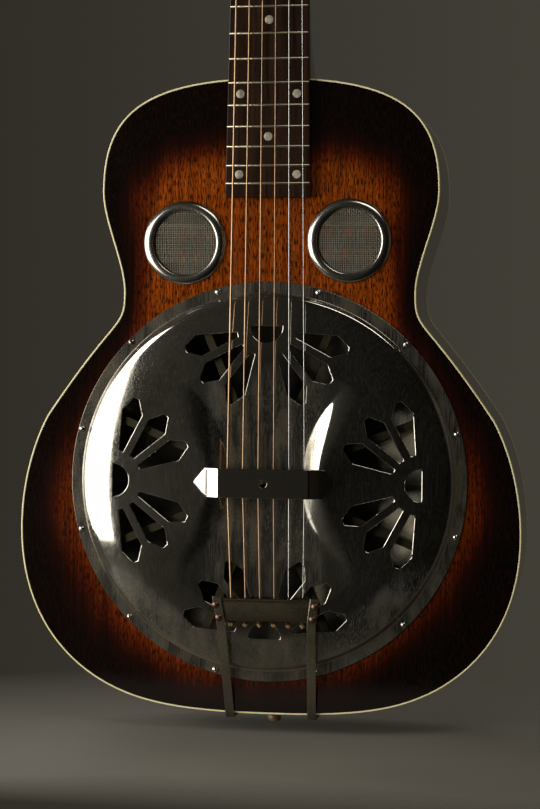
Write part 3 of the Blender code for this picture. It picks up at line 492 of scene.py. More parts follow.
def loft(rings, closed=False):
    """Quads between rings of points; the ends are capped, or the last ring meets the first."""
    points = [point for ring in rings for point in ring]
    count = len(rings[0])
    faces = []
    spans = len(rings) if closed else len(rings) - 1
    for r in range(spans):
        low, high = r * count, (r + 1) % len(rings) * count
        for i in range(count):
            j = (i + 1) % count
            faces.append((low + i, low + j, high + j, high + i))
    if not closed:
        faces.append(tuple(reversed(range(count))))
        faces.append(tuple(range(len(points) - count, len(points))))
    return points, faces


def turned(profile, steps=48, closed=False):
    """A turned shape round the z axis from (radius, height) pairs; radius 0 makes a pole."""
    points, rings, faces = [], [], []
    for radius, height in profile:
        first = len(points)
        if radius == 0:
            points.append((0, 0, height))
            rings.append([first] * steps)
            continue
        for i in range(steps):
            turn = 2 * pi * i / steps
            points.append((radius * cos(turn), radius * sin(turn), height))
        rings.append(list(range(first, first + steps)))
    if closed:
        rings.append(rings[0])
    for low, high in zip(rings, rings[1:]):
        for i in range(steps):
            j = (i + 1) % steps
            faces.append(tuple(dict.fromkeys((low[i], low[j], high[j], high[i]))))
    return points, faces


def millimetres(profile):
    return [tuple(value * MM for value in point) for point in profile]


def rounded(piece, width, segments=2, limit=40):
    """Round the sharp edges of a piece."""
    edges = piece.modifiers.new("rounded", "BEVEL")
    edges.width = width
    edges.segments = segments
    edges.limit_method = "ANGLE"
    edges.angle_limit = radians(limit)
    edges.harden_normals = True
    return piece


def tube(path, radius, sides=8):
    """A round wire along a path, its rings square to the way."""
    rings = []
    path = [Vector(point) for point in path]
    side = Vector((1, 0, 0))
    for i, point in enumerate(path):
        ahead = (path[min(i + 1, len(path) - 1)] - path[max(i - 1, 0)]).normalized()
        side = (side - side.dot(ahead) * ahead).normalized()
        other = ahead.cross(side)
        ring = []
        for k in range(sides):
            turn = 2 * pi * k / sides
            ring.append(point + radius * (cos(turn) * side + sin(turn) * other))
        rings.append(ring)
    return loft(rings)


def drilled(piece, drill):
    """Cut one piece out of another, and remove it."""
    cut = piece.modifiers.new("hole", "BOOLEAN")
    cut.object = drill
    bpy.context.view_layer.update()
    done = piece.evaluated_get(bpy.context.evaluated_depsgraph_get())
    mesh = bpy.data.meshes.new_from_object(done)
    piece.modifiers.clear()
    piece.data = mesh
    bpy.data.objects.remove(drill)


# ---------------------------------------------------------------- flat outlines
def bezier(p0, p1, p2, p3, t):
    s = 1 - t
    return tuple(s**3 * a + 3 * s * s * t * b + 3 * s * t * t * c + t**3 * d
                 for a, b, c, d in zip(p0, p1, p2, p3))


def treble_half():
    """Points of the outline from the tail to the neck, up the treble side."""
    points = []
    for (start, turn0, _, out), (end, turn1, back, _) in zip(BODY_CURVE, BODY_CURVE[1:]):
        aim0, aim1 = radians(turn0), radians(turn1)
        handle0 = (start[0] + out * cos(aim0), start[1] + out * sin(aim0))
        handle1 = (end[0] - back * cos(aim1), end[1] - back * sin(aim1))
        for i in range(POINTS_PER_CURVE):
            x, z = bezier(start, handle0, handle1, end, i / POINTS_PER_CURVE)
            points.append((x * MM, z * MM))
    points.append((0, BODY_TOP))
    return points


HALF = treble_half()


def outline(distance=0.0):
    """The whole closed outline, moved inwards, counter-clockwise from the tail."""
    half = []
    last = len(HALF) - 1
    for i, (x, z) in enumerate(HALF):
        before, after = HALF[max(i - 1, 0)], HALF[min(i + 1, last)]
        dx, dz = after[0] - before[0], after[1] - before[1]
        if i in (0, last):
            dz = 0
        length = hypot(dx, dz)
        half.append((x - distance * dz / length, z + distance * dx / length))
    return half + [(-x, z) for x, z in reversed(half[1:-1])]


def circle(radius, centre=(0, 0), steps=96, start=0.0):
    turns = [start + 2 * pi * i / steps for i in range(steps)]
    return [(centre[0] + radius * cos(turn), centre[1] + radius * sin(turn)) for turn in turns]


def grown(loop, distance):
    """A convex counter-clockwise loop, moved outwards."""
    moved_loop = []
    for i, (x, y) in enumerate(loop):
        before, after = Vector(loop[i - 1]), Vector(loop[(i + 1) % len(loop)])
        here = Vector((x, y))
        first, second = (here - before).normalized(), (after - here).normalized()
        out = Vector((first.y + second.y, -first.x - second.x)).normalized()
        stretch = max(out.dot(Vector((first.y, -first.x))), 0.4)
        moved_loop.append(tuple(here + distance / stretch * out))
    return moved_loop


def stepped(loop, step):
    """The same loop with more points along its straight sides."""
    points = []
    for a, b in zip(loop, loop[1:] + loop[:1]):
        count = max(1, round(hypot(b[0] - a[0], b[1] - a[1]) / step))
        run, rise = b[0] - a[0], b[1] - a[1]
        points += [(a[0] + run * i / count, a[1] + rise * i / count) for i in range(count)]
    return points


def inside(points, loop):
    """Which points lie inside a closed loop."""
    x, y = points[:, :1], points[:, 1:]
    a = np.array(loop)
    b = np.roll(a, -1, axis=0)
    crosses = (a[:, 1] > y) != (b[:, 1] > y)
    run = np.where(b[:, 1] == a[:, 1], 1, b[:, 1] - a[:, 1])
    reach = a[:, 0] + (y - a[:, 1]) * (b[:, 0] - a[:, 0]) / run
    return (crosses & (x < reach)).sum(axis=1) % 2 == 1


def nearest(points, loop):
    """How far each point is from the points of a loop."""
    spots = np.array(loop)
    return np.sqrt(((points[:, None, :] - spots[None, :, :]) ** 2).sum(axis=2)).min(axis=1)


def filled(outer, holes, free=(), lines=()):
    """Flat triangles between an outer loop and its holes, through extra lines and free points."""
    loops = [outer, *holes, *lines]
    points, edges = [], []
    for loop in loops:
        first, count = len(points), len(loop)
        points += loop
        edges += [(first + i, first + (i + 1) % count) for i in range(count)]
    if len(free):
        free = np.array(free)
        free = free[inside(free, outer)]
        for hole in holes:
            free = free[~inside(free, hole)]
        free = free[nearest(free, points) > 0.5 * MM]
        points += [tuple(point) for point in free]
    result = delaunay_2d_cdt([Vector(point) for point in points], edges, [], 0, 1e-7)
    flat = np.array([tuple(point) for point in result[0]])
    triangles = np.array([tuple(face) for face in result[2]])
    centres = flat[triangles].mean(axis=1)
    wanted = inside(centres, outer)
    for hole in holes:
        wanted &= ~inside(centres, hole)
    return flat, triangles[wanted]


def sheet(flat, triangles, top, thickness):
    """A closed sheet from flat triangles: the height of its upper face, and its thickness."""
    count = len(flat)
    points = [(x, y, h) for (x, y), h in zip(flat, top)]
    points += [(x, y, h - thickness) for x, y, h in points]
    faces = [tuple(face) for face in triangles.tolist()]
    sides = {}
    for a, b, c in faces:
        for edge in ((a, b), (b, c), (c, a)):
            sides[tuple(sorted(edge))] = None if tuple(sorted(edge)) in sides else edge
    under = [(c + count, b + count, a + count) for a, b, c in faces]
    walls = [(b, a, a + count, b + count) for a, b in filter(None, sides.values())]
    used = sorted({i for face in faces + under for i in face})
    new = {old: i for i, old in enumerate(used)}
    shape = [tuple(new[i] for i in face) for face in faces + under + walls]
    return [points[i] for i in used], shape


def grid(step, low, high):
    across = np.arange(low[0], high[0], step)
    along = np.arange(low[1], high[1], step)
    x, y = np.meshgrid(across, along)
    x = x + (np.arange(len(along)) % 2 * step / 2)[:, None]
    return np.stack([x.ravel(), y.ravel()], axis=1)


def set_wood(piece, grain, burst):
    """Store where each point lies in the plank and how far the sunburst has opened there."""
    mesh = piece.data
    lay = mesh.attributes.new("grain", "FLOAT_VECTOR", "POINT")
    lay.data.foreach_set("vector", np.array(grain, np.float32).ravel())
    tone = mesh.attributes.new("burst", "FLOAT", "POINT")
    tone.data.foreach_set("value", np.array(burst, np.float32).ravel())


def own_frame(piece):
    """Each point of a piece as across, along and lift."""
    back = FRONT.inverted()
    return np.array([back @ point.co for point in piece.data.vertices])


def smooth(value):
    value = np.clip(value, 0, 1)
    return value * value * (3 - 2 * value)


# ---------------------------------------------------------------- body
def burst_at(points):
    """0 in the black edge to 1 in the open middle; the edge is wide at the top and the treble corner, where the
    extra width is painted shade for the light falling off.
    """
    edge = nearest(points, outline())
    along = points[:, 1]
    waist = np.exp(-(((along - 130 * MM) / (50 * MM)) ** 2))
    shoulder = smooth((along - 195 * MM) / (65 * MM))
    tail = smooth((-along - 10 * MM) / (70 * MM))
    # painted shade: the black edge widens at the lower treble corner, where the light falls off
    corner = smooth((points[:, 0] - 40 * MM) / (80 * MM)) * tail
    bass_corner = smooth((-points[:, 0] - 60 * MM) / (60 * MM)) * tail
    black = (10.5 - 7.5 * waist + 23 * shoulder - 3 * tail + 23 * corner + 10 * bass_corner) * MM
    span = (34 - 16 * waist + 24 * shoulder + 4 * tail + 12 * bass_corner) * MM
    return np.clip(0.30 + 0.70 * (edge - black) / span, 0.0, 1.0)


def plates():
    """Soundboard with its three holes, and the back."""
    well = circle(WELL_RADIUS, steps=120)
    screens = []
    for side in ("bass", "treble"):
        centre = middle_of(side + "_screen_ring") - HOME
        screens.append(circle(SCREEN_HOLE, (centre.x, centre.z), 48))
    edge = outline(BINDING_WIDTH)
    points = grid(5 * MM, (-185 * MM, -170 * MM), (185 * MM, 290 * MM))
    for name, holes, top in (("soundboard", [well, *screens], 0.0), ("back", [], PLATE - BODY_DEPTH)):
        flat, triangles = filled(edge, holes, points)
        shape = sheet(flat, triangles, np.full(len(flat), top), PLATE)
        plate = mesh_piece("lacquered_" + name, shape)
        spots = own_frame(plate)
        grain = spots[:, [0, 2, 1]] + (0.0 if holes else 0.7)
        set_wood(plate, grain, burst_at(spots[:, :2]))
        keep(rounded(plate, 0.5 * MM), "mahogany", name)


def band(outer, inner, low, high):
    """A closed strip between two loops of equal length."""
    rings = [[(x, z, lift) for x, z in loop] for loop, lift in
             ((outer, low), (outer, high), (inner, high), (inner, low))]
    return loft(rings, closed=True)


def bindings():
    loops = outline(), outline(BINDING_WIDTH)
    for name, top in (("top_binding", 0.0), ("back_binding", BINDING_DEPTH - BODY_DEPTH)):
        strip = mesh_piece(name + "_strip", band(*loops, top - BINDING_DEPTH, top))
        keep(rounded(strip, 0.5 * MM, 3), "binding", name)


def sides():
    """The bent ribs, with grain running round the body and a paler middle."""
    low, high = BINDING_DEPTH - BODY_DEPTH, -BINDING_DEPTH
    steps = 9
    levels = [low + (high - low) * i / (steps - 1) for i in range(steps)]
    outer, inner = outline(0.1 * MM), outline(2.5 * MM)
    lengths = [0.0]
    for a, b in zip(outer, outer[1:]):
        lengths.append(lengths[-1] + hypot(b[0] - a[0], b[1] - a[1]))
    rings = [[(x, z, lift) for x, z in outer] for lift in levels]
    rings.append([(x, z, high) for x, z in inner])
    rings.append([(x, z, low) for x, z in inner])
    ribs = mesh_piece("bent_ribs", loft(rings, closed=True))
    spots = own_frame(ribs)
    run = np.array(lengths * len(rings))
    grain = np.stack([spots[:, 2], 0.3 + 0.02 * np.sign(spots[:, 0]), run], axis=1)
    centre = (low + high) / 2
    open_share = 1 - np.abs(spots[:, 2] - centre) / (high - centre)
    set_wood(ribs, grain, 0.16 + 0.42 * smooth(open_share * 1.2))
    keep(ribs, "mahogany", "bass_side", "treble_side")


# ---------------------------------------------------------------- coverplate
def dome_table():
    """At even radii, the lifts of the dome and how far its steeper rim drops below them."""
    step = 0.25 * MM
    radii = np.arange(0, STEP_START + step, step)
    slopes = INNER_SLOPE * smooth((radii - CROWN_RADIUS) / (8 * MM))
    steeper = OUTER_GAIN * np.clip((radii - RIM_START) / (34 * MM), 0, 1)
    steeper += RIM_GAIN * smooth((radii - 128 * MM) / (3.6 * MM))
    return radii, CROWN_LIFT - np.cumsum(slopes) * step, np.cumsum(steeper) * step


DOME_RADII, DOME_LIFTS, RIM_DROPS = dome_table()


def channel_edges(z):
    """Half widths of the string channel where its walls begin and where they end."""
    away = np.abs(z)
    straight = np.where(z < 0, 7, 12) * MM
    spread = np.where(z < 0, 12.0, 8.5)
    foot = 28.5 * MM + spread * np.maximum(away - straight, 0) ** 2
    brow = 38 * MM + 0.46 * away
    return np.minimum(foot, brow - 9 * MM), brow


def cover_lift(x, z):
    """The pressed shape: dome, string channel, a rounded step and the flat flange."""
    radius = np.hypot(x, z)
    tail_share = smooth((-z - 50 * MM) / (55 * MM))
    dome = np.interp(radius, DOME_RADII, DOME_LIFTS)
    dome = dome - (1 - TAIL_EASE * tail_share) * np.interp(radius, DOME_RADII, RIM_DROPS)
    foot, brow = channel_edges(z)
    beyond = np.abs(x) - foot
    tailward = smooth((-z - 8 * MM) / (40 * MM))
    fillet = (1.0 + 4.0 * tailward) * MM
    beyond = (beyond + np.sqrt(beyond**2 + fillet**2)) / 2
    sunk = (1 - np.clip(beyond / (brow - foot), 0, 1)) ** 2
    neckward = smooth((z - 30 * MM) / (55 * MM))
    floor_lift = CHANNEL_LIFT + CHANNEL_RISE * (neckward + 0.75 * tailward)
    dome = dome - sunk * np.maximum(dome - floor_lift, 0)
    step = smooth((radius - STEP_START) / (STEP_END - STEP_START))
    return dome + (FLANGE_LIFT - dome) * step


def fan_loops():
    """Outlines of the four fans: a D hole and six petals each, counter-clockwise."""
    loops = []
    for quarter in range(4):
        aim = quarter * pi / 2
        centre = Vector((FAN_RADIUS * cos(aim), FAN_RADIUS * sin(aim)))

        def spot(distance, angle, side=0.0):
            heading = aim + pi + angle
            inward = Vector((cos(heading), sin(heading)))
            return tuple(centre + distance * inward + side * Vector((-inward.y, inward.x)))

        loops.append([spot(D_HOLE_RADIUS, radians(-90 + 12 * i)) for i in range(16)])
        for petal in PETAL_ANGLES:
            right = [spot(reach * MM, radians(petal), -half * MM) for reach, half in PETAL]
            left = [spot(reach * MM, radians(petal), half * MM) for reach, half in reversed(PETAL)]
            loops.append(right + left)
    return loops


def on_walls(points):
    """Which points lie on the channel's walls, where the sheet needs a finer mesh."""
    foot, brow = channel_edges(points[:, 1])
    away = np.abs(points[:, 0])
    return (away > foot - 3 * MM) & (away < brow + 1 * MM)


def coverplate():
    """Rings of points raised to the pressed shape, pierced by the fans and the bridge slot."""
    half, reach = 31.5 * MM, 6.5 * MM
    slot = [(-half, -reach), (half, -reach), (half, reach), (-half, reach)]
    cuts = fan_loops() + [slot]
    holes = [stepped(loop, CUT_STEP) for loop in cuts]
    rolls = [stepped(grown(loop, away * MM), CUT_STEP) for loop in cuts for away, _ in ROLL[:-1]]
    bends = [point for loop in cuts for point in stepped(grown(loop, ROLL[1][0] * MM), CUT_STEP)]
    edge = circle(COVER_RADIUS, steps=288)
    shoulder = circle(COVER_RADIUS - 0.35 * MM, steps=288)
    radii = list(np.arange(2, 131, 1.6)) + list(np.arange(131, 138, 0.35)) + [139, 140.8]
    free = []
    for i, radius in enumerate(radii):
        count = min(288, max(12, int(2 * pi * radius / 2.2)))
        free += circle(radius * MM, steps=count, start=0.0 if i % 2 else 0.01)
    free = np.array(free)
    steep = on_walls(free) & (np.abs(free[:, 1]) < 80 * MM)
    walls = grid(1.1 * MM, (-72 * MM, -85 * MM), (72 * MM, 80 * MM))
    free = np.concatenate([free[~steep], walls[on_walls(walls)]])
    flat, triangles = filled(edge, holes, free, [shoulder, *rolls])
    top = cover_lift(flat[:, 0], flat[:, 1])
    top[nearest(flat, [point for loop in holes for point in loop]) < 0.01 * MM] -= ROLL[2][1] * MM
    top[nearest(flat, bends) < 0.01 * MM] -= ROLL[1][1] * MM
    top[np.hypot(*flat.T) > COVER_RADIUS - 0.05 * MM] -= 0.3 * MM
    plate = mesh_piece("pressed_coverplate", sheet(flat, triangles, top, COVER_SHEET), crease=50)
    shade_pressing(plate)
    keep(plate, COVER_NICKEL, "coverplate")


def shade_pressing(plate):
    """Mark the duller parts, the tail rim's among them darkened as painted shade, and the band of painted shade on
    the rim's step, and give the upper face the exact normals.
    """
    mesh = plate.data
    spots = own_frame(plate)
    near = 0.2 * MM
    x, z = spots[:, 0], spots[:, 1]
    channel = smooth((38 * MM + 0.12 * np.abs(z) - np.abs(x)) / (11 * MM))
    channel *= smooth((88 * MM - np.abs(z)) / (35 * MM))
    radius = np.hypot(x, z)
    flange = smooth((radius - STEP_START - 1 * MM) / (2 * MM))
    # painted shade: the tail rim is marked dull, which darkens it
    tail = smooth((radius - 108 * MM) / (12 * MM)) * smooth((-z - 50 * MM) / (40 * MM))
    dull = np.maximum(channel, np.maximum(0.8 * flange, 0.85 * tail))
    mesh.attributes.new("dull", "FLOAT", "POINT").data.foreach_set("value", dull.astype(np.float32))
    # painted shade on the rim's step: the band fades out on the left and at the top, where the lights catch the
    # step
    edge = 0.8 * MM
    band = smooth((radius - STEP_START) / edge) * smooth((STEP_END + 0.6 * MM - radius) / edge)
    band *= (0.8 - 0.8 * smooth((-x - 50 * MM) / (50 * MM))) * smooth((70 * MM - z) / (50 * MM))
    mesh.attributes.new("band", "FLOAT", "POINT").data.foreach_set("value", band.astype(np.float32))
    slope_x = (cover_lift(x + near, z) - cover_lift(x - near, z)) / (2 * near)
    slope_z = (cover_lift(x, z + near) - cover_lift(x, z - near)) / (2 * near)
    exact = np.stack([-slope_x, -np.ones(len(x)), -slope_z], axis=1)
    exact /= np.linalg.norm(exact, axis=1)[:, None]
    on_top = np.abs(spots[:, 2] - cover_lift(x, z)) < 0.02 * MM
    custom = np.zeros((len(mesh.loops), 3))
    for face in mesh.polygons:
        corners = list(face.vertices)
        if face.normal.y < 0 and on_top[corners].all():
            custom[list(face.loop_indices)] = exact[corners]
    mesh.normals_split_custom_set(custom.tolist())


def slotted_head(radius, height, slot_width=None):
    """A round screw head; its points inside the slot are pushed down."""
    slot_width = slot_width or radius * 0.32
    profile = [(0, height)]
    for i in range(1, 9):
        turn = radians(90 * i / 8)
        profile.append((radius * sin(turn), height * cos(turn)))
    profile += [(radius, -0.3 * height), (0, -0.3 * height)]
    points, faces = turned(profile, 40)
    cut = []
    for x, y, h in points:
        cut.append((x, y, min(h, 0.45 * height) if abs(x) < slot_width / 2 else h))
    return cut, faces


def cover_screws():
    heads = []
    for i in range(12):
        aim = radians(15 + 30 * i)
        spot = (139.9 * MM * cos(aim), 139.9 * MM * sin(aim), FLANGE_LIFT)
        turn = Matrix.Rotation(i * 1.9, 4, "Z")
        heads.append(moved(slotted_head(2.3 * MM, 1.5 * MM), Matrix.Translation(spot) @ turn))
    keep(mesh_piece("coverplate_screws", joined(*heads)), "nickel")


# the strap's upper face and its half width, both by distance from its middle
CREST = ((0, 18.6), (32.2, 18.6), (33.4, 18.3), (39.6, 14.9), (40.2, 14.72), (50.5, 13.5))
STRAP_WIDTH = ((0, 10.4), (42.5, 10.4), (50.5, 0.9))
STRAP_STATIONS = (50.5, 48.4, 46, 44, 42.5, 41.6, 40.8, 40.2, 39.6, 36.5, 33.4, 32.8, 32.2, 24, 16, 8)


def hand_rest():
    """A strap folded over the saddle, with chamfered pointed feet and one round hole."""
    stations = [*STRAP_STATIONS, 0, *[-x for x in reversed(STRAP_STATIONS)]]
    rings = []
    for x in stations:
        lift = np.interp(abs(x), *zip(*CREST))
        half = np.interp(abs(x), *zip(*STRAP_WIDTH))
        pointed = float(smooth((abs(x) - 40.6) / 1.2))
        chamfer = 0.3 + 2.3 * pointed
        inner = max(half - chamfer, 0.02)
        drop = 0.1 + 0.2 * pointed
        ridge = lift - drop * max(1 - half / chamfer, 0)
        low = lift - 1.4 + 0.2 * pointed
        right = [(half, low), (half, lift - drop), (inner, ridge)]
        ring = right + [(-z, up) for z, up in reversed(right)]
        rings.append([(x * MM, z * MM, up * MM) for z, up in ring])
    strap = mesh_piece("folded_hand_rest", loft(rings), crease=14)
    top = CREST[0][1]
    drill = turned(millimetres([(0, top + 5), (3, top + 5), (3, top - 5), (0, top - 5)]), 32)
    drilled(strap, mesh_piece("hand_rest_drill", drill))
    keep(rounded(strap, 0.22 * MM, 2, 50), "nickel", "hand_rest")


def screens():
    """Spun rings round a woven wire screen."""
    ring = ((24.4, 1.2), (23.0, 1.2), (22.95, 1.9), (23.1, 2.3), (23.5, 2.6), (24.1, 2.72), (25.0, 2.78),
            (26.2, 2.74), (27.2, 2.56), (28.0, 2.28), (28.8, 1.84), (29.4, 1.3), (29.8, 0.7), (29.9, 0.05),
            (25.2, 0.05), (25.2, -4.0), (24.4, -4.0))
    for side in ("bass", "treble"):
        centre = middle_of(side + "_screen_ring") - HOME
        place = FRONT @ Matrix.Translation((centre.x, centre.z, 0))
        keep(mesh_piece(side + "_spun_ring", turned(millimetres(ring), 96, closed=True), place, 50),
             RING_NICKEL, side + "_screen_ring")
        woven = mesh_piece(side + "_woven_screen", woven_wires(23.9 * MM, 1.3 * MM, 0.19 * MM), place, 60)
        keep(woven, SCREEN_WIRE, side + "_screen")


def woven_wires(radius, pitch, wire):
    """Wires each way, passing over and under by turns."""
    shapes = []
    count = int(radius / pitch)
    for lane in range(-count, count + 1):
        reach = sqrt(max(radius**2 - (lane * pitch) ** 2, 0))
        steps = int(reach / (pitch / 2))
        for upright in (False, True):
            path = []
            for i in range(-steps, steps + 1):
                along = i * pitch / 2
                wave = cos(pi * (along / pitch + lane + upright))
                spot = (lane * pitch, along) if upright else (along, lane * pitch)
                path.append((*spot, 0.6 * MM + wire * wave))
            if len(path) > 2:
                shapes.append(tube(path, wire, 5))
    return joined(*shapes)


# ---------------------------------------------------------------- neck
HEADSTOCK_SIDES = ((0, 22.8), (9, 24.6), (20, 30.5), (32, 34.6), (90, 36.2), (150, 37.6), (163, 37.2),
                   (170, 34.5), (173, 29))
HEAD_STATIONS = (6, 9, 12.5, 16, 20, 26, 32, 60, 90, 120, 150, 157, 163, 167, 170, 172, 173)
NECK_THIN = 15.5 * MM
NECK_THICK = 18.5 * MM
HEEL_START = 352 * MM
HEEL_DEPTH = 77 * MM
POST_HOLE = 4 * MM


def board_half_width(z):
    end_half, nut_half = BOARD_END_WIDTH / 2, NUT_WIDTH / 2
    return end_half + (nut_half - end_half) * (z - BOARD_END) / (SCALE_LENGTH - BOARD_END)


def headstock_half_width(station):
    stations, halves = zip(*HEADSTOCK_SIDES)
    return float(np.interp(station / MM, stations, halves)) * MM


def section(half, depth, roundness, place, steps=36):
    """A neck section: flat on top, with a back from square (0) to round (1)."""
    ring = [place @ Vector((half, 0, 0))]
    for i in range(1, steps):
        turn = pi * i / steps
        across = abs(cos(turn)) ** roundness * (1 if cos(turn) > 0 else -1)
        if 2 * i == steps:
            across = 0
        ring.append(place @ Vector((half * across, 0, -depth * sin(turn) ** roundness)))
    ring.append(place @ Vector((-half, 0, 0)))
    return ring


def neck():
    """Heel, neck and headstock in one loft, then the post holes."""
    rings = []
    heel = [BODY_TOP + step * MM for step in (0.1, 3, 6, 9.5, 13, 17, 21, 25.5, 30, 35, 41, 47, 54, 65)]
    shaft = [z * MM for z in range(372, 632, 20)] + [SCALE_LENGTH]
    upright = Matrix.Rotation(radians(90), 4, "X")
    for z in heel + shaft:
        along = (z - HEEL_START) / (SCALE_LENGTH - HEEL_START)
        depth = NECK_THICK + (NECK_THIN - NECK_THICK) * max(along, 0)
        swell = max((HEEL_START - z) / (HEEL_START - BODY_TOP), 0)
        depth += (HEEL_DEPTH - NECK_THICK) * swell**2.4
        place = Matrix.Translation(HOME + Vector((0, 0, z))) @ upright
        rings.append(section(board_half_width(z), depth, 0.82 - 0.25 * swell, place))
    for station in (0, 3, *HEAD_STATIONS):
        squareness = min(station / 20, 1)
        depth = NECK_THIN + 2 * MM * sin(pi * squareness) - 0.5 * MM * squareness
        place = HEAD @ Matrix.Translation((0, station * MM, 0))
        half = headstock_half_width(station * MM)
        rings.append(section(half, depth, 0.82 - 0.74 * squareness, place))
    piece = mesh_piece("carved_neck", loft(rings), Matrix(), 40)
    spots = own_frame(piece)
    tone = 0.50 - 0.12 * smooth((spots[:, 1] - 480 * MM) / (160 * MM))
    tone -= 0.14 * smooth((340 * MM - spots[:, 1]) / (60 * MM))
    set_wood(piece, spots[:, [0, 2, 1]] + 1.7, tone)
    bore = [(0, -30 * MM), (POST_HOLE, -30 * MM), (POST_HOLE, 10 * MM), (0, 10 * MM)]
    bores = [moved(turned(bore, 24), post_place(string)) for string in range(1, 7)]
    points, faces = joined(*bores)
    mesh = bpy.data.meshes.new("post_drill")
    mesh.from_pydata(points, [], faces)
    drill = bpy.data.objects.new("post_drill", mesh)
    bpy.context.scene.collection.objects.link(drill)
    drilled(piece, drill)
    keep(piece, "mahogany", "neck")


def post_place(string):
    """The frame of a string post: its origin on the headstock's face, z out of the face."""
    return Matrix.Translation(JOINTS["post_%d_turn" % string]["pos_m"]) @ LEAN


def worm_place(string):
    """The frame of a worm shaft: z outwards, towards its button."""
    joint = JOINTS["tuner_%d_turn" % string]
    side = 1 if joint["axis"][0] > 0 else -1
    return Matrix.Translation(joint["pos_m"]) @ LEAN @ Matrix.Rotation(side * radians(90), 4, "Y")


def fingerboard():
    """A flat board and its frets, with their ends bevelled."""
    low, high = BOARD_END, SCALE_LENGTH - 0.05 * MM
    floor = 0.05 * MM
    rings = []
    for z in np.linspace(low, high, 12):
        half = board_half_width(z)
        rings.append([(-half, z, floor), (half, z, floor), (half, z, BOARD_TOP), (-half, z, BOARD_TOP)])
    board = mesh_piece("rosewood_board", loft(rings))
    keep(rounded(board, 0.5 * MM, 2), "rosewood", "fingerboard")

    bars = []
    for number in range(1, 20):
        z = SCALE_LENGTH * 2 ** (-number / 12)
        half = board_half_width(z) - 0.1 * MM
        crown = [(1.05 * MM * cos(turn), 0.95 * MM * sin(turn)) for turn in np.linspace(0, pi, 9)]
        ends = ((-half, 0.5), (-half + 0.7 * MM, 1), (half - 0.7 * MM, 1), (half, 0.5))
        sections = [[(x, z + along * share, BOARD_TOP - 0.05 * MM + lift * share) for along, lift in crown]
                    for x, share in ends]
        bars.append(loft(sections))
    keep(mesh_piece("frets", joined(*bars), crease=40), FRET_NICKEL)


def position_dots():
    """Pearl dots in the board's face, and small ones along its bass edge."""
    doubles = {7: 13.5, 15: 20.2, 19: 20.6}
    discs, side_dots = [], []
    for number in (5, 7, 9, 12, 15, 17, 19):
        z = SCALE_LENGTH * (2 ** (-number / 12) + 2 ** (-(number - 1) / 12)) / 2
        offset = doubles.get(number, 0) * MM
        disc = turned(millimetres([(0, 0.04), (2.9, 0.04), (3.0, 0.0), (3.0, -0.3), (0, -0.3)]), 36)
        for x in {offset, -offset}:
            discs.append(moved(disc, Matrix.Translation((x, z, BOARD_TOP))))
        aim = Matrix.Translation((-board_half_width(z), z, BOARD_TOP - 2.6 * MM))
        dot = turned(millimetres([(0, 0.05), (1.0, 0.05), (1.0, -0.3), (0, -0.3)]), 20)
        side_dots.append(moved(dot, aim @ Matrix.Rotation(radians(-90), 4, "Y")))
    keep(mesh_piece("position_dots", joined(*discs)), PEARL)
    keep(mesh_piece("side_dots", joined(*side_dots)), "cream_plastic")


def nut():
    """A bone block with a rounded back and six string slots."""
    half = NUT_WIDTH / 2
    floor = 0.05 * MM
    low, high = SCALE_LENGTH, NUT_END
    profile = [(low, floor), (low, NUT_TOP - 0.3 * MM), (low + 0.8 * MM, NUT_TOP),
               (high - 2.5 * MM, NUT_TOP - 0.4 * MM), (high - 0.8 * MM, NUT_TOP - 1.6 * MM),
               (high, NUT_TOP - 3.2 * MM), (high, floor)]
    stops = {-half, half}
    notches = {}
    for index, radius in enumerate(STRING_RADII):
        centre = (index / 5 - 0.5) * NUT_SPREAD
        for offset, depth in ((-1.7, 0), (-1.0, 0.7), (1.0, 0.7), (1.7, 0)):
            x = centre + offset * radius
            stops.add(x)
            notches[x] = depth * radius
    rings = []
    for x in sorted(stops):
        dip = notches.get(x, 0)
        rings.append([(x, z, lift - (dip if lift > floor else 0)) for z, lift in profile])
    piece = mesh_piece("bone_nut", loft(rings), crease=50)
    keep(rounded(piece, 0.2 * MM, 2, 60), "bone", "nut")


def headstock_face():
    """The black overlay, and a bushing round each post."""
    low = 0.05 * MM
    stations = (4, *HEAD_STATIONS)
    right = [(headstock_half_width(station * MM) - 0.1 * MM, station * MM) for station in stations]
    edge = right + [(-half, station) for half, station in reversed(right)]
    holes = []
    for string in range(1, 7):
        spot = HEAD.inverted() @ post_place(string).translation
        holes.append(circle(POST_HOLE, (spot.x, spot.y), 24))
    flat, triangles = filled(edge, holes)
    top = np.full(len(flat), low + 1.75 * MM)
    overlay = mesh_piece("black_overlay", sheet(flat, triangles, top, 1.75 * MM), HEAD)
    keep(rounded(overlay, 0.6 * MM, 3), "overlay", "headstock_overlay")

    collar = ((3.15, 1.6), (3.15, 2.9), (3.6, 3.0), (4.4, 2.9), (4.9, 2.4), (5.3, 2.0), (5.3, 1.7),
              (5.3, 1.6))
    bushing = turned(millimetres(collar), 32, closed=True)
    rings = [moved(bushing, post_place(string)) for string in range(1, 7)]
    keep(mesh_piece("post_bushings", joined(*rings), Matrix()), "nickel")


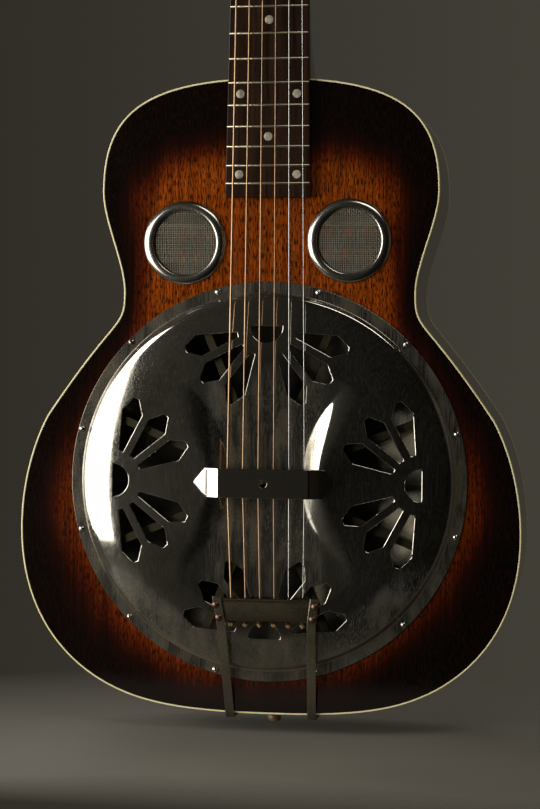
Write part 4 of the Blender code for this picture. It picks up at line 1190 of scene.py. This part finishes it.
# ---------------------------------------------------------------- strings
def string_path(index):
    """Ball end, saddle and nut, then turns down the string's post, in the row frame."""
    radius = STRING_RADII[index]
    share = index / 5 - 0.5
    tail = Vector((TAIL_DRIFT + share * TAIL_SPREAD, -102 * MM, TAIL_LIFT))
    under = Vector((tail.x, TAIL_TOP, TAIL_LIFT))
    saddle = Vector((SADDLE_DRIFT + share * SADDLE_SPREAD, 0, SADDLE_TOP + 0.2 * MM + radius))
    rest = NUT_TOP + 0.3 * MM + radius
    path = [tail, under, saddle, Vector((share * NUT_SPREAD, SCALE_LENGTH, rest)),
            Vector((share * NUT_SPREAD, NUT_END - 1.5 * MM, rest - 0.2 * MM))]
    path = [FRONT @ point for point in path]
    post = HEAD.inverted() @ post_place(6 - index).translation
    wrap = 3 * MM + radius
    side = -1 if post.x < 0 else 1
    level = 8.3 * MM
    steps, turns = 16, 2.25
    drop = 2 * radius + 0.05 * MM
    for i in range(int(turns * steps) + 1):
        turn = 2 * pi * i / steps
        offset = (post.x - side * wrap * cos(turn), post.y + wrap * sin(turn), level - drop * i / steps)
        path.append(HEAD @ Vector(offset))
    return path


def strings():
    for index, radius in enumerate(STRING_RADII):
        number = 6 - index
        wire = mesh_piece("wire_%d" % number, tube(string_path(index), radius, 12), Matrix(), 60)
        keep(wire, "wound_bronze" if index < 4 else "steel", "string_%d" % number)


# ---------------------------------------------------------------- tailpiece
TAIL_SHEET_LIFT = 14.2 * MM
BASS_FOOT, TREBLE_FOOT = -25.3 * MM, 34.0 * MM   # where the legs go over the edge of the body
LEG_TURN = -163.4 * MM              # the legs begin to bend round that edge


def tail_half(z):
    return 31.2 * MM + (38.6 - 31.2) * MM * (z - TAIL_BOTTOM) / (TAIL_TOP - TAIL_BOTTOM)


def string_plate():
    """One bent sheet: a rolled lip, a flat with a groove, and a flange turned down below."""
    high, thick, bend = TAIL_SHEET_LIFT + 1.2 * MM, 1.2 * MM, 1.8 * MM
    outer = []
    for turn in np.linspace(radians(-120), radians(90), 9):
        outer.append((TAIL_TOP - 1.0 * MM + 1.0 * MM * cos(turn), high - 0.9 * MM + 1.0 * MM * sin(turn)))
    outer += [(TAIL_TOP - 2.2 * MM, high), (TAIL_TOP - 2.8 * MM, high - 0.25 * MM),
              (TAIL_TOP - 3.4 * MM, high), (TAIL_BOTTOM + 3.4 * MM, high)]
    for turn in np.linspace(radians(90), radians(180), 7):
        outer.append((TAIL_BOTTOM + bend + bend * cos(turn), high - bend + bend * sin(turn)))
    outer.append((TAIL_BOTTOM, TAIL_LIFT - 4 * MM))
    inner = [(TAIL_BOTTOM + thick, TAIL_LIFT - 4 * MM), (TAIL_BOTTOM + thick, high - bend),
             (TAIL_BOTTOM + bend, high - thick), (TAIL_TOP - 2.2 * MM, high - thick)]
    loop = outer + inner
    rings = []
    for share in np.linspace(-1, 1, 15):
        rings.append([(TAIL_DRIFT + share * tail_half(min(z, TAIL_TOP)), z, lift) for z, lift in loop])
    plate = mesh_piece("string_plate", loft(rings), crease=40)
    keep(rounded(plate, 0.25 * MM, 2, 60), TAIL_NICKEL, "tailpiece_plate")


def leg(side, x_top, x_low, foot):
    """A strap from the plate over the tail edge, bent round and down to the bracket."""
    over = TAIL_SHEET_LIFT + 1.25 * MM
    tail = BODY_BOTTOM - 2 * MM
    thickness = 1.3 * MM
    route = [(x_top, TAIL_TOP + 1 * MM, over), (x_low, TAIL_BOTTOM - 1 * MM, over)]
    for share in np.linspace(0.08, 0.92, 10):
        route.append([a + (b - a) * share for a, b in zip(route[1], (foot, LEG_TURN, 1.4 * MM))])
    route += [(foot, LEG_TURN, 1.4 * MM), (foot, LEG_TURN - 2 * MM, 0.9 * MM),
              (foot, LEG_TURN - 3.5 * MM, 0.2 * MM), (foot, tail + 0.25 * MM, -0.8 * MM),
              (foot, tail, -2.2 * MM), (foot, tail, -14 * MM), (foot, tail, -24 * MM)]
    half = 3.2 * MM
    rings = []
    for i, (x, z, lift) in enumerate(route):
        before, after = route[max(i - 1, 0)], route[min(i + 1, len(route) - 1)]
        ahead = Vector((0, after[1] - before[1], after[2] - before[2])).normalized()
        out = Vector((0, -ahead.z, ahead.y)) * thickness
        if out.z < 0 or (abs(out.z) < 1e-9 and out.y > 0):
            out = -out
        spot = Vector((x, z, lift))
        rings.append([spot + Vector((half, 0, 0)), spot + Vector((half, 0, 0)) + out,
                      spot + Vector((-half, 0, 0)) + out, spot + Vector((-half, 0, 0))])
    strap = mesh_piece("strap_" + side, loft(rings), crease=30)
    keep(rounded(strap, 0.3 * MM, 2, 50), STRAP_STEEL, "tailpiece_leg_" + side)


def tailpiece():
    string_plate()
    top, low = tail_half(TAIL_TOP), tail_half(TAIL_BOTTOM)
    leg("bass", TAIL_DRIFT - top + 3.4 * MM, TAIL_DRIFT - low - 0.6 * MM, BASS_FOOT)
    leg("treble", TAIL_DRIFT + top - 3.4 * MM, TAIL_DRIFT + low + 1.6 * MM, TREBLE_FOOT)

    dome = turned(millimetres([(0, 1.1), (1.2, 1.0), (2.1, 0.6), (2.6, 0.05), (2.6, -0.6), (0, -0.6)]), 28)
    over = TAIL_SHEET_LIFT + 2.5 * MM
    spots = ((-33.3, -86.6), (-30.9, -95.6), (37.8, -86.2), (36.4, -95.2))
    rivets = [moved(dome, Matrix.Translation((x * MM, z * MM, over))) for x, z in spots]
    keep(mesh_piece("tailpiece_rivets", joined(*rivets)), RIVET_COPPER)

    ball = millimetres([(0.8, -1.5), (1.7, -1.5), (2.0, -1.2), (2.0, 1.2), (1.7, 1.5), (0.8, 1.5)])
    ball = turned(ball, 24, closed=True)
    ends = []
    for index in range(6):
        x = TAIL_DRIFT + (index / 5 - 0.5) * TAIL_SPREAD
        spot = Matrix.Translation((x, TAIL_BOTTOM - 2.2 * MM, TAIL_LIFT))
        aim = spot @ Matrix.Rotation(radians(90), 4, "Y")
        ends.append(moved(ball, aim @ Matrix.Rotation(radians(25 * (index % 3)), 4, "X")))
    keep(mesh_piece("ball_ends", joined(*ends)), BRASS)

    pin_lift = FRONT.inverted() @ middle_of("end_pin")
    pin = ((0, 26), (3.5, 26), (3.5, -2.0), (4.7, -2.2), (4.5, -3.4), (4.0, -4.6), (4.05, -6.0), (4.6, -7.6),
           (4.95, -9.0), (4.95, -10.2), (4.5, -11.2), (3.4, -11.8), (0, -11.95))
    along = Matrix.Translation(HOME + Vector((0, -pin_lift.z, BODY_BOTTOM)))
    keep(mesh_piece("turned_end_pin", turned(millimetres(pin), 48), along, 50), AMBER, "end_pin")
    heads = []
    for foot in (BASS_FOOT, TREBLE_FOOT):
        aim = Matrix.Translation(HOME + Vector((foot, 17 * MM, BODY_BOTTOM - 3.3 * MM)))
        heads.append(moved(slotted_head(2.4 * MM, 1.4 * MM), aim @ Matrix.Rotation(pi, 4, "X")))
    keep(mesh_piece("bracket_screws", joined(*heads), Matrix()), TAIL_NICKEL)


# ---------------------------------------------------------------- tuners
WHEEL_TEETH = 14
WHEEL_TOP = -16.8 * MM
WHEEL_LOW = -22.0 * MM


def gear_wheel():
    """A worm wheel whose slanted teeth follow the worm."""
    rings = []
    for share in np.linspace(0, 1, 5):
        height = WHEEL_LOW + (WHEEL_TOP - WHEEL_LOW) * share
        hollow = 0.25 * MM * (1 - (2 * share - 1) ** 2)
        ring = []
        for i in range(WHEEL_TEETH * 8):
            turn = 2 * pi * i / (WHEEL_TEETH * 8)
            wave = cos(WHEEL_TEETH * turn + 1.2 * share)
            radius = 5.55 * MM + 0.45 * MM * max(min(1.6 * wave, 1), -1) - hollow
            ring.append((radius * cos(turn), radius * sin(turn), height))
        rings.append(ring)
    return loft(rings)


def string_post(string):
    post = ((0, 14), (2.1, 14), (2.75, 13.8), (3.0, 13.3), (3.0, 10.6), (2.75, 10.2), (2.6, 9.2), (2.6, 6.0),
            (2.85, 4.8), (3.0, 4.2), (3.0, -16.9), (0, -16.9))
    cap = ((0, -22.0), (2.6, -22.0), (2.6, -23.0), (2.3, -23.6), (0, -23.8))
    bore = turned(millimetres([(0, 3.05), (0.9, 3.05), (0.9, 2.2), (0, 2.2)]), 16)
    hole = moved(bore, Matrix.Translation((0, 0, 12 * MM)) @ Matrix.Rotation(radians(90), 4, "Y"))
    shape = joined(turned(millimetres(post), 40), gear_wheel(), turned(millimetres(cap), 24), hole)
    piece = mesh_piece("geared_post_%d" % string, shape, post_place(string), 30)
    keep(piece, "steel", "string_post_%d" % string, body="post_%d" % string)


def worm_shaft(string):
    """A shaft with a screw thread in its middle and a collar for the button."""
    end = 21 * MM
    shaft = turned([(0, end), (2.0 * MM, end), (2.0 * MM, end - 4 * MM), (2.4 * MM, end - 4.4 * MM),
                    (3.2 * MM, end - 5 * MM), (3.2 * MM, end - 6.6 * MM), (2.2 * MM, end - 7.4 * MM),
                    (1.5 * MM, end - 8 * MM), (1.5 * MM, -9 * MM), (0, -9 * MM)], 32)
    rings = []
    pitch = 2.5 * MM
    for height in np.linspace(-4.6 * MM, 4.6 * MM, 64):
        ring = []
        for i in range(24):
            turn = 2 * pi * i / 24
            wave = cos(2 * pi * height / pitch - turn)
            radius = (2.2 + 0.4 * wave) * MM
            ring.append((radius * cos(turn), radius * sin(turn), height))
        rings.append(ring)
    piece = mesh_piece("threaded_shaft_%d" % string, joined(shaft, loft(rings)), worm_place(string), 35)
    keep(piece, "steel", "worm_shaft_%d" % string, body="tuner_%d" % string)


def button(string):
    """An oval cream knob with softly flattened faces and a short neck."""
    start, length = 21.05 * MM, 13 * MM
    rings = []
    for i in range(1, 24):
        turn = pi * i / 24
        share = 0.5 - 0.5 * cos(turn)
        grown_by = 0.80 + 0.40 * share
        wide, thick = 7.0 * MM * sin(turn) ** 0.75 * grown_by, 4.0 * MM * sin(turn) ** 0.65 * grown_by
        ring = []
        for k in range(40):
            around = 2 * pi * k / 40
            x = thick * abs(cos(around)) ** 0.8 * (1 if cos(around) > 0 else -1)
            y = wide * abs(sin(around)) ** 0.9 * (1 if sin(around) > 0 else -1)
            ring.append((x, y, start + length * share))
        rings.append(ring)
    knob = mesh_piece("cream_knob_%d" % string, loft(rings), worm_place(string), 50)
    keep(knob, "cream_plastic", "tuner_button_%d" % string, body="tuner_%d" % string)


def plate_screws():
    """Four small screws hold each tuner plate."""
    heads = []
    for side in (-1, 1):
        for station in (38, 66, 102, 132):
            aim = HEAD @ Matrix.Translation((side * 19.5 * MM, station * MM, -16.5 * MM))
            heads.append(moved(slotted_head(2.0 * MM, 1.1 * MM), aim @ Matrix.Rotation(pi, 4, "X")))
    keep(mesh_piece("tuner_plate_screws", joined(*heads), Matrix()), "nickel")


# ---------------------------------------------------------------- camera, light and floor
def facing(aim, azimuth, elevation, distance):
    """A place that looks at a point; azimuth 0 is straight in front and positive to the treble side."""
    turn, rise = radians(azimuth), radians(elevation)
    back = Vector((sin(turn) * cos(rise), -cos(turn) * cos(rise), sin(rise)))
    look = (-back).to_track_quat("-Z", "Y").to_matrix().to_4x4()
    return Matrix.Translation(aim + distance * back) @ look


def studio():
    """The camera, one large soft light on the left, a narrow one above, and a fill behind the guitar."""
    aim = FRONT @ Vector((1.8 * MM, 55.4 * MM, 0))
    lens = bpy.data.cameras.new("camera")
    lens.lens = 97.41
    lens.sensor_width = 36
    camera = bpy.data.objects.new("camera", lens)
    camera.matrix_world = facing(aim, 9.58, 1.954, 1.5573) @ Matrix.Rotation(radians(0.476), 4, "Z")
    bpy.context.scene.collection.objects.link(camera)
    bpy.context.scene.camera = camera

    middle = FRONT @ Vector((0, 40 * MM, 0))
    softbox("key", middle, -60, 5, 1.40, (1.65, 1.0), 27, (1.0, 0.97, 0.90))
    softbox("hair", middle, 24, 46, 1.5, (0.8, 0.3), 3.2, (1.0, 0.97, 0.88))
    softbox("back_fill", middle, 222, 25, 1.8, (1.4, 1.4), 10, (1.0, 0.97, 0.92))


def softbox(name, aim, azimuth, elevation, distance, size, watts, colour):
    """An area light that the camera doesn't see."""
    light = bpy.data.lights.new(name, "AREA")
    light.shape = "RECTANGLE"
    light.size, light.size_y = size
    light.energy = watts
    light.color = colour
    lamp = bpy.data.objects.new(name, light)
    lamp.matrix_world = facing(aim, azimuth, elevation, distance)
    lamp.visible_camera = False
    bpy.context.scene.collection.objects.link(lamp)


def surroundings():
    """A dark warm room, brighter at its two sides; the wall behind brightens to the right."""
    world = bpy.data.worlds.new("studio")
    bpy.context.scene.world = world
    world.use_nodes = True
    w = Nodes(world.node_tree)
    way = w.add("ShaderNodeTexCoord", {}).outputs["Generated"]
    split = w.add("ShaderNodeSeparateXYZ", {0: way})

    def ramp(value, low, high, *stops):
        reach = w.add("ShaderNodeMapRange", {"Value": value, "From Min": low, "From Max": high})
        return w.ramp(reach.outputs["Result"], *stops)

    wall = ramp(split.outputs["X"], -0.30, -0.02, (0, (0.029, 0.026, 0.020)), (1, (0.055, 0.050, 0.039)))
    room = ramp(split.outputs["X"], -1.0, 0.9, (0, (0.150, 0.138, 0.117)), (0.25, (0.070, 0.065, 0.055)),
                (0.36, (0.036, 0.033, 0.027)), (0.54, (0.008, 0.007, 0.006)), (0.70, (0.004, 0.004, 0.003)),
                (0.93, (0.012, 0.010, 0.007)), (1, (0.090, 0.075, 0.050)))
    behind = ramp(split.outputs["Y"], -0.05, 0.35, (0, (0, 0, 0)), (1, (1, 1, 1)))
    w.put(w.tree.nodes["Background"].inputs["Color"], w.mix(behind, room, wall))


def floor():
    """A pale floor that fades out behind and just in front of the guitar."""
    low = cad_low.z - 2 * MM
    place = Matrix.Translation((0, HOME.y, low))
    disc = mesh_piece("floor", turned([(0, 0)] + [(0.1 * i, 0) for i in range(1, 12)], 96), place)
    w = Wiring("pale_floor")
    mottle = w.noise(w.place((6, 6, 6)), detail=5)
    colour = w.ramp(mottle, (0.3, (0.215, 0.198, 0.168)), (0.7, (0.255, 0.236, 0.198)))
    w.finish(Base_Color=colour, Roughness=0.75)
    spot = w.add("ShaderNodeTexCoord", {}).outputs["Object"]
    away = w.add("ShaderNodeMapping", {"Vector": spot, "Location": (0, 0.16, -low)}).outputs["Vector"]
    length = w.add("ShaderNodeVectorMath", {0: away}, operation="LENGTH").outputs["Value"]
    back = w.ramp(length, (0.05, 0.0), (0.45, 1.0))
    forward = w.times(w.add("ShaderNodeSeparateXYZ", {"Vector": spot}).outputs["Y"], -1.0)
    front = w.ramp(forward, (0.17, 0.0), (0.27, 1.0))
    fade = w.larger(back, front)
    clear = w.add("ShaderNodeBsdfTransparent", {})
    blend = w.add("ShaderNodeMixShader", {"Fac": fade, 1: w.shader.outputs[0], 2: clear.outputs[0]})
    w.tree.links.new(blend.outputs[0], w.tree.nodes["Material Output"].inputs["Surface"])
    disc.data.materials.append(w.material)


# ---------------------------------------------------------------- assembly
studio()
surroundings()
floor()
plates()
bindings()
sides()
coverplate()
cover_screws()
hand_rest()
screens()
neck()
fingerboard()
position_dots()
nut()
headstock_face()
strings()
tailpiece()
for string_number in range(1, 7):
    string_post(string_number)
    worm_shaft(string_number)
    button(string_number)
plate_screws()
bpy.context.scene.view_settings.view_transform = "Standard"
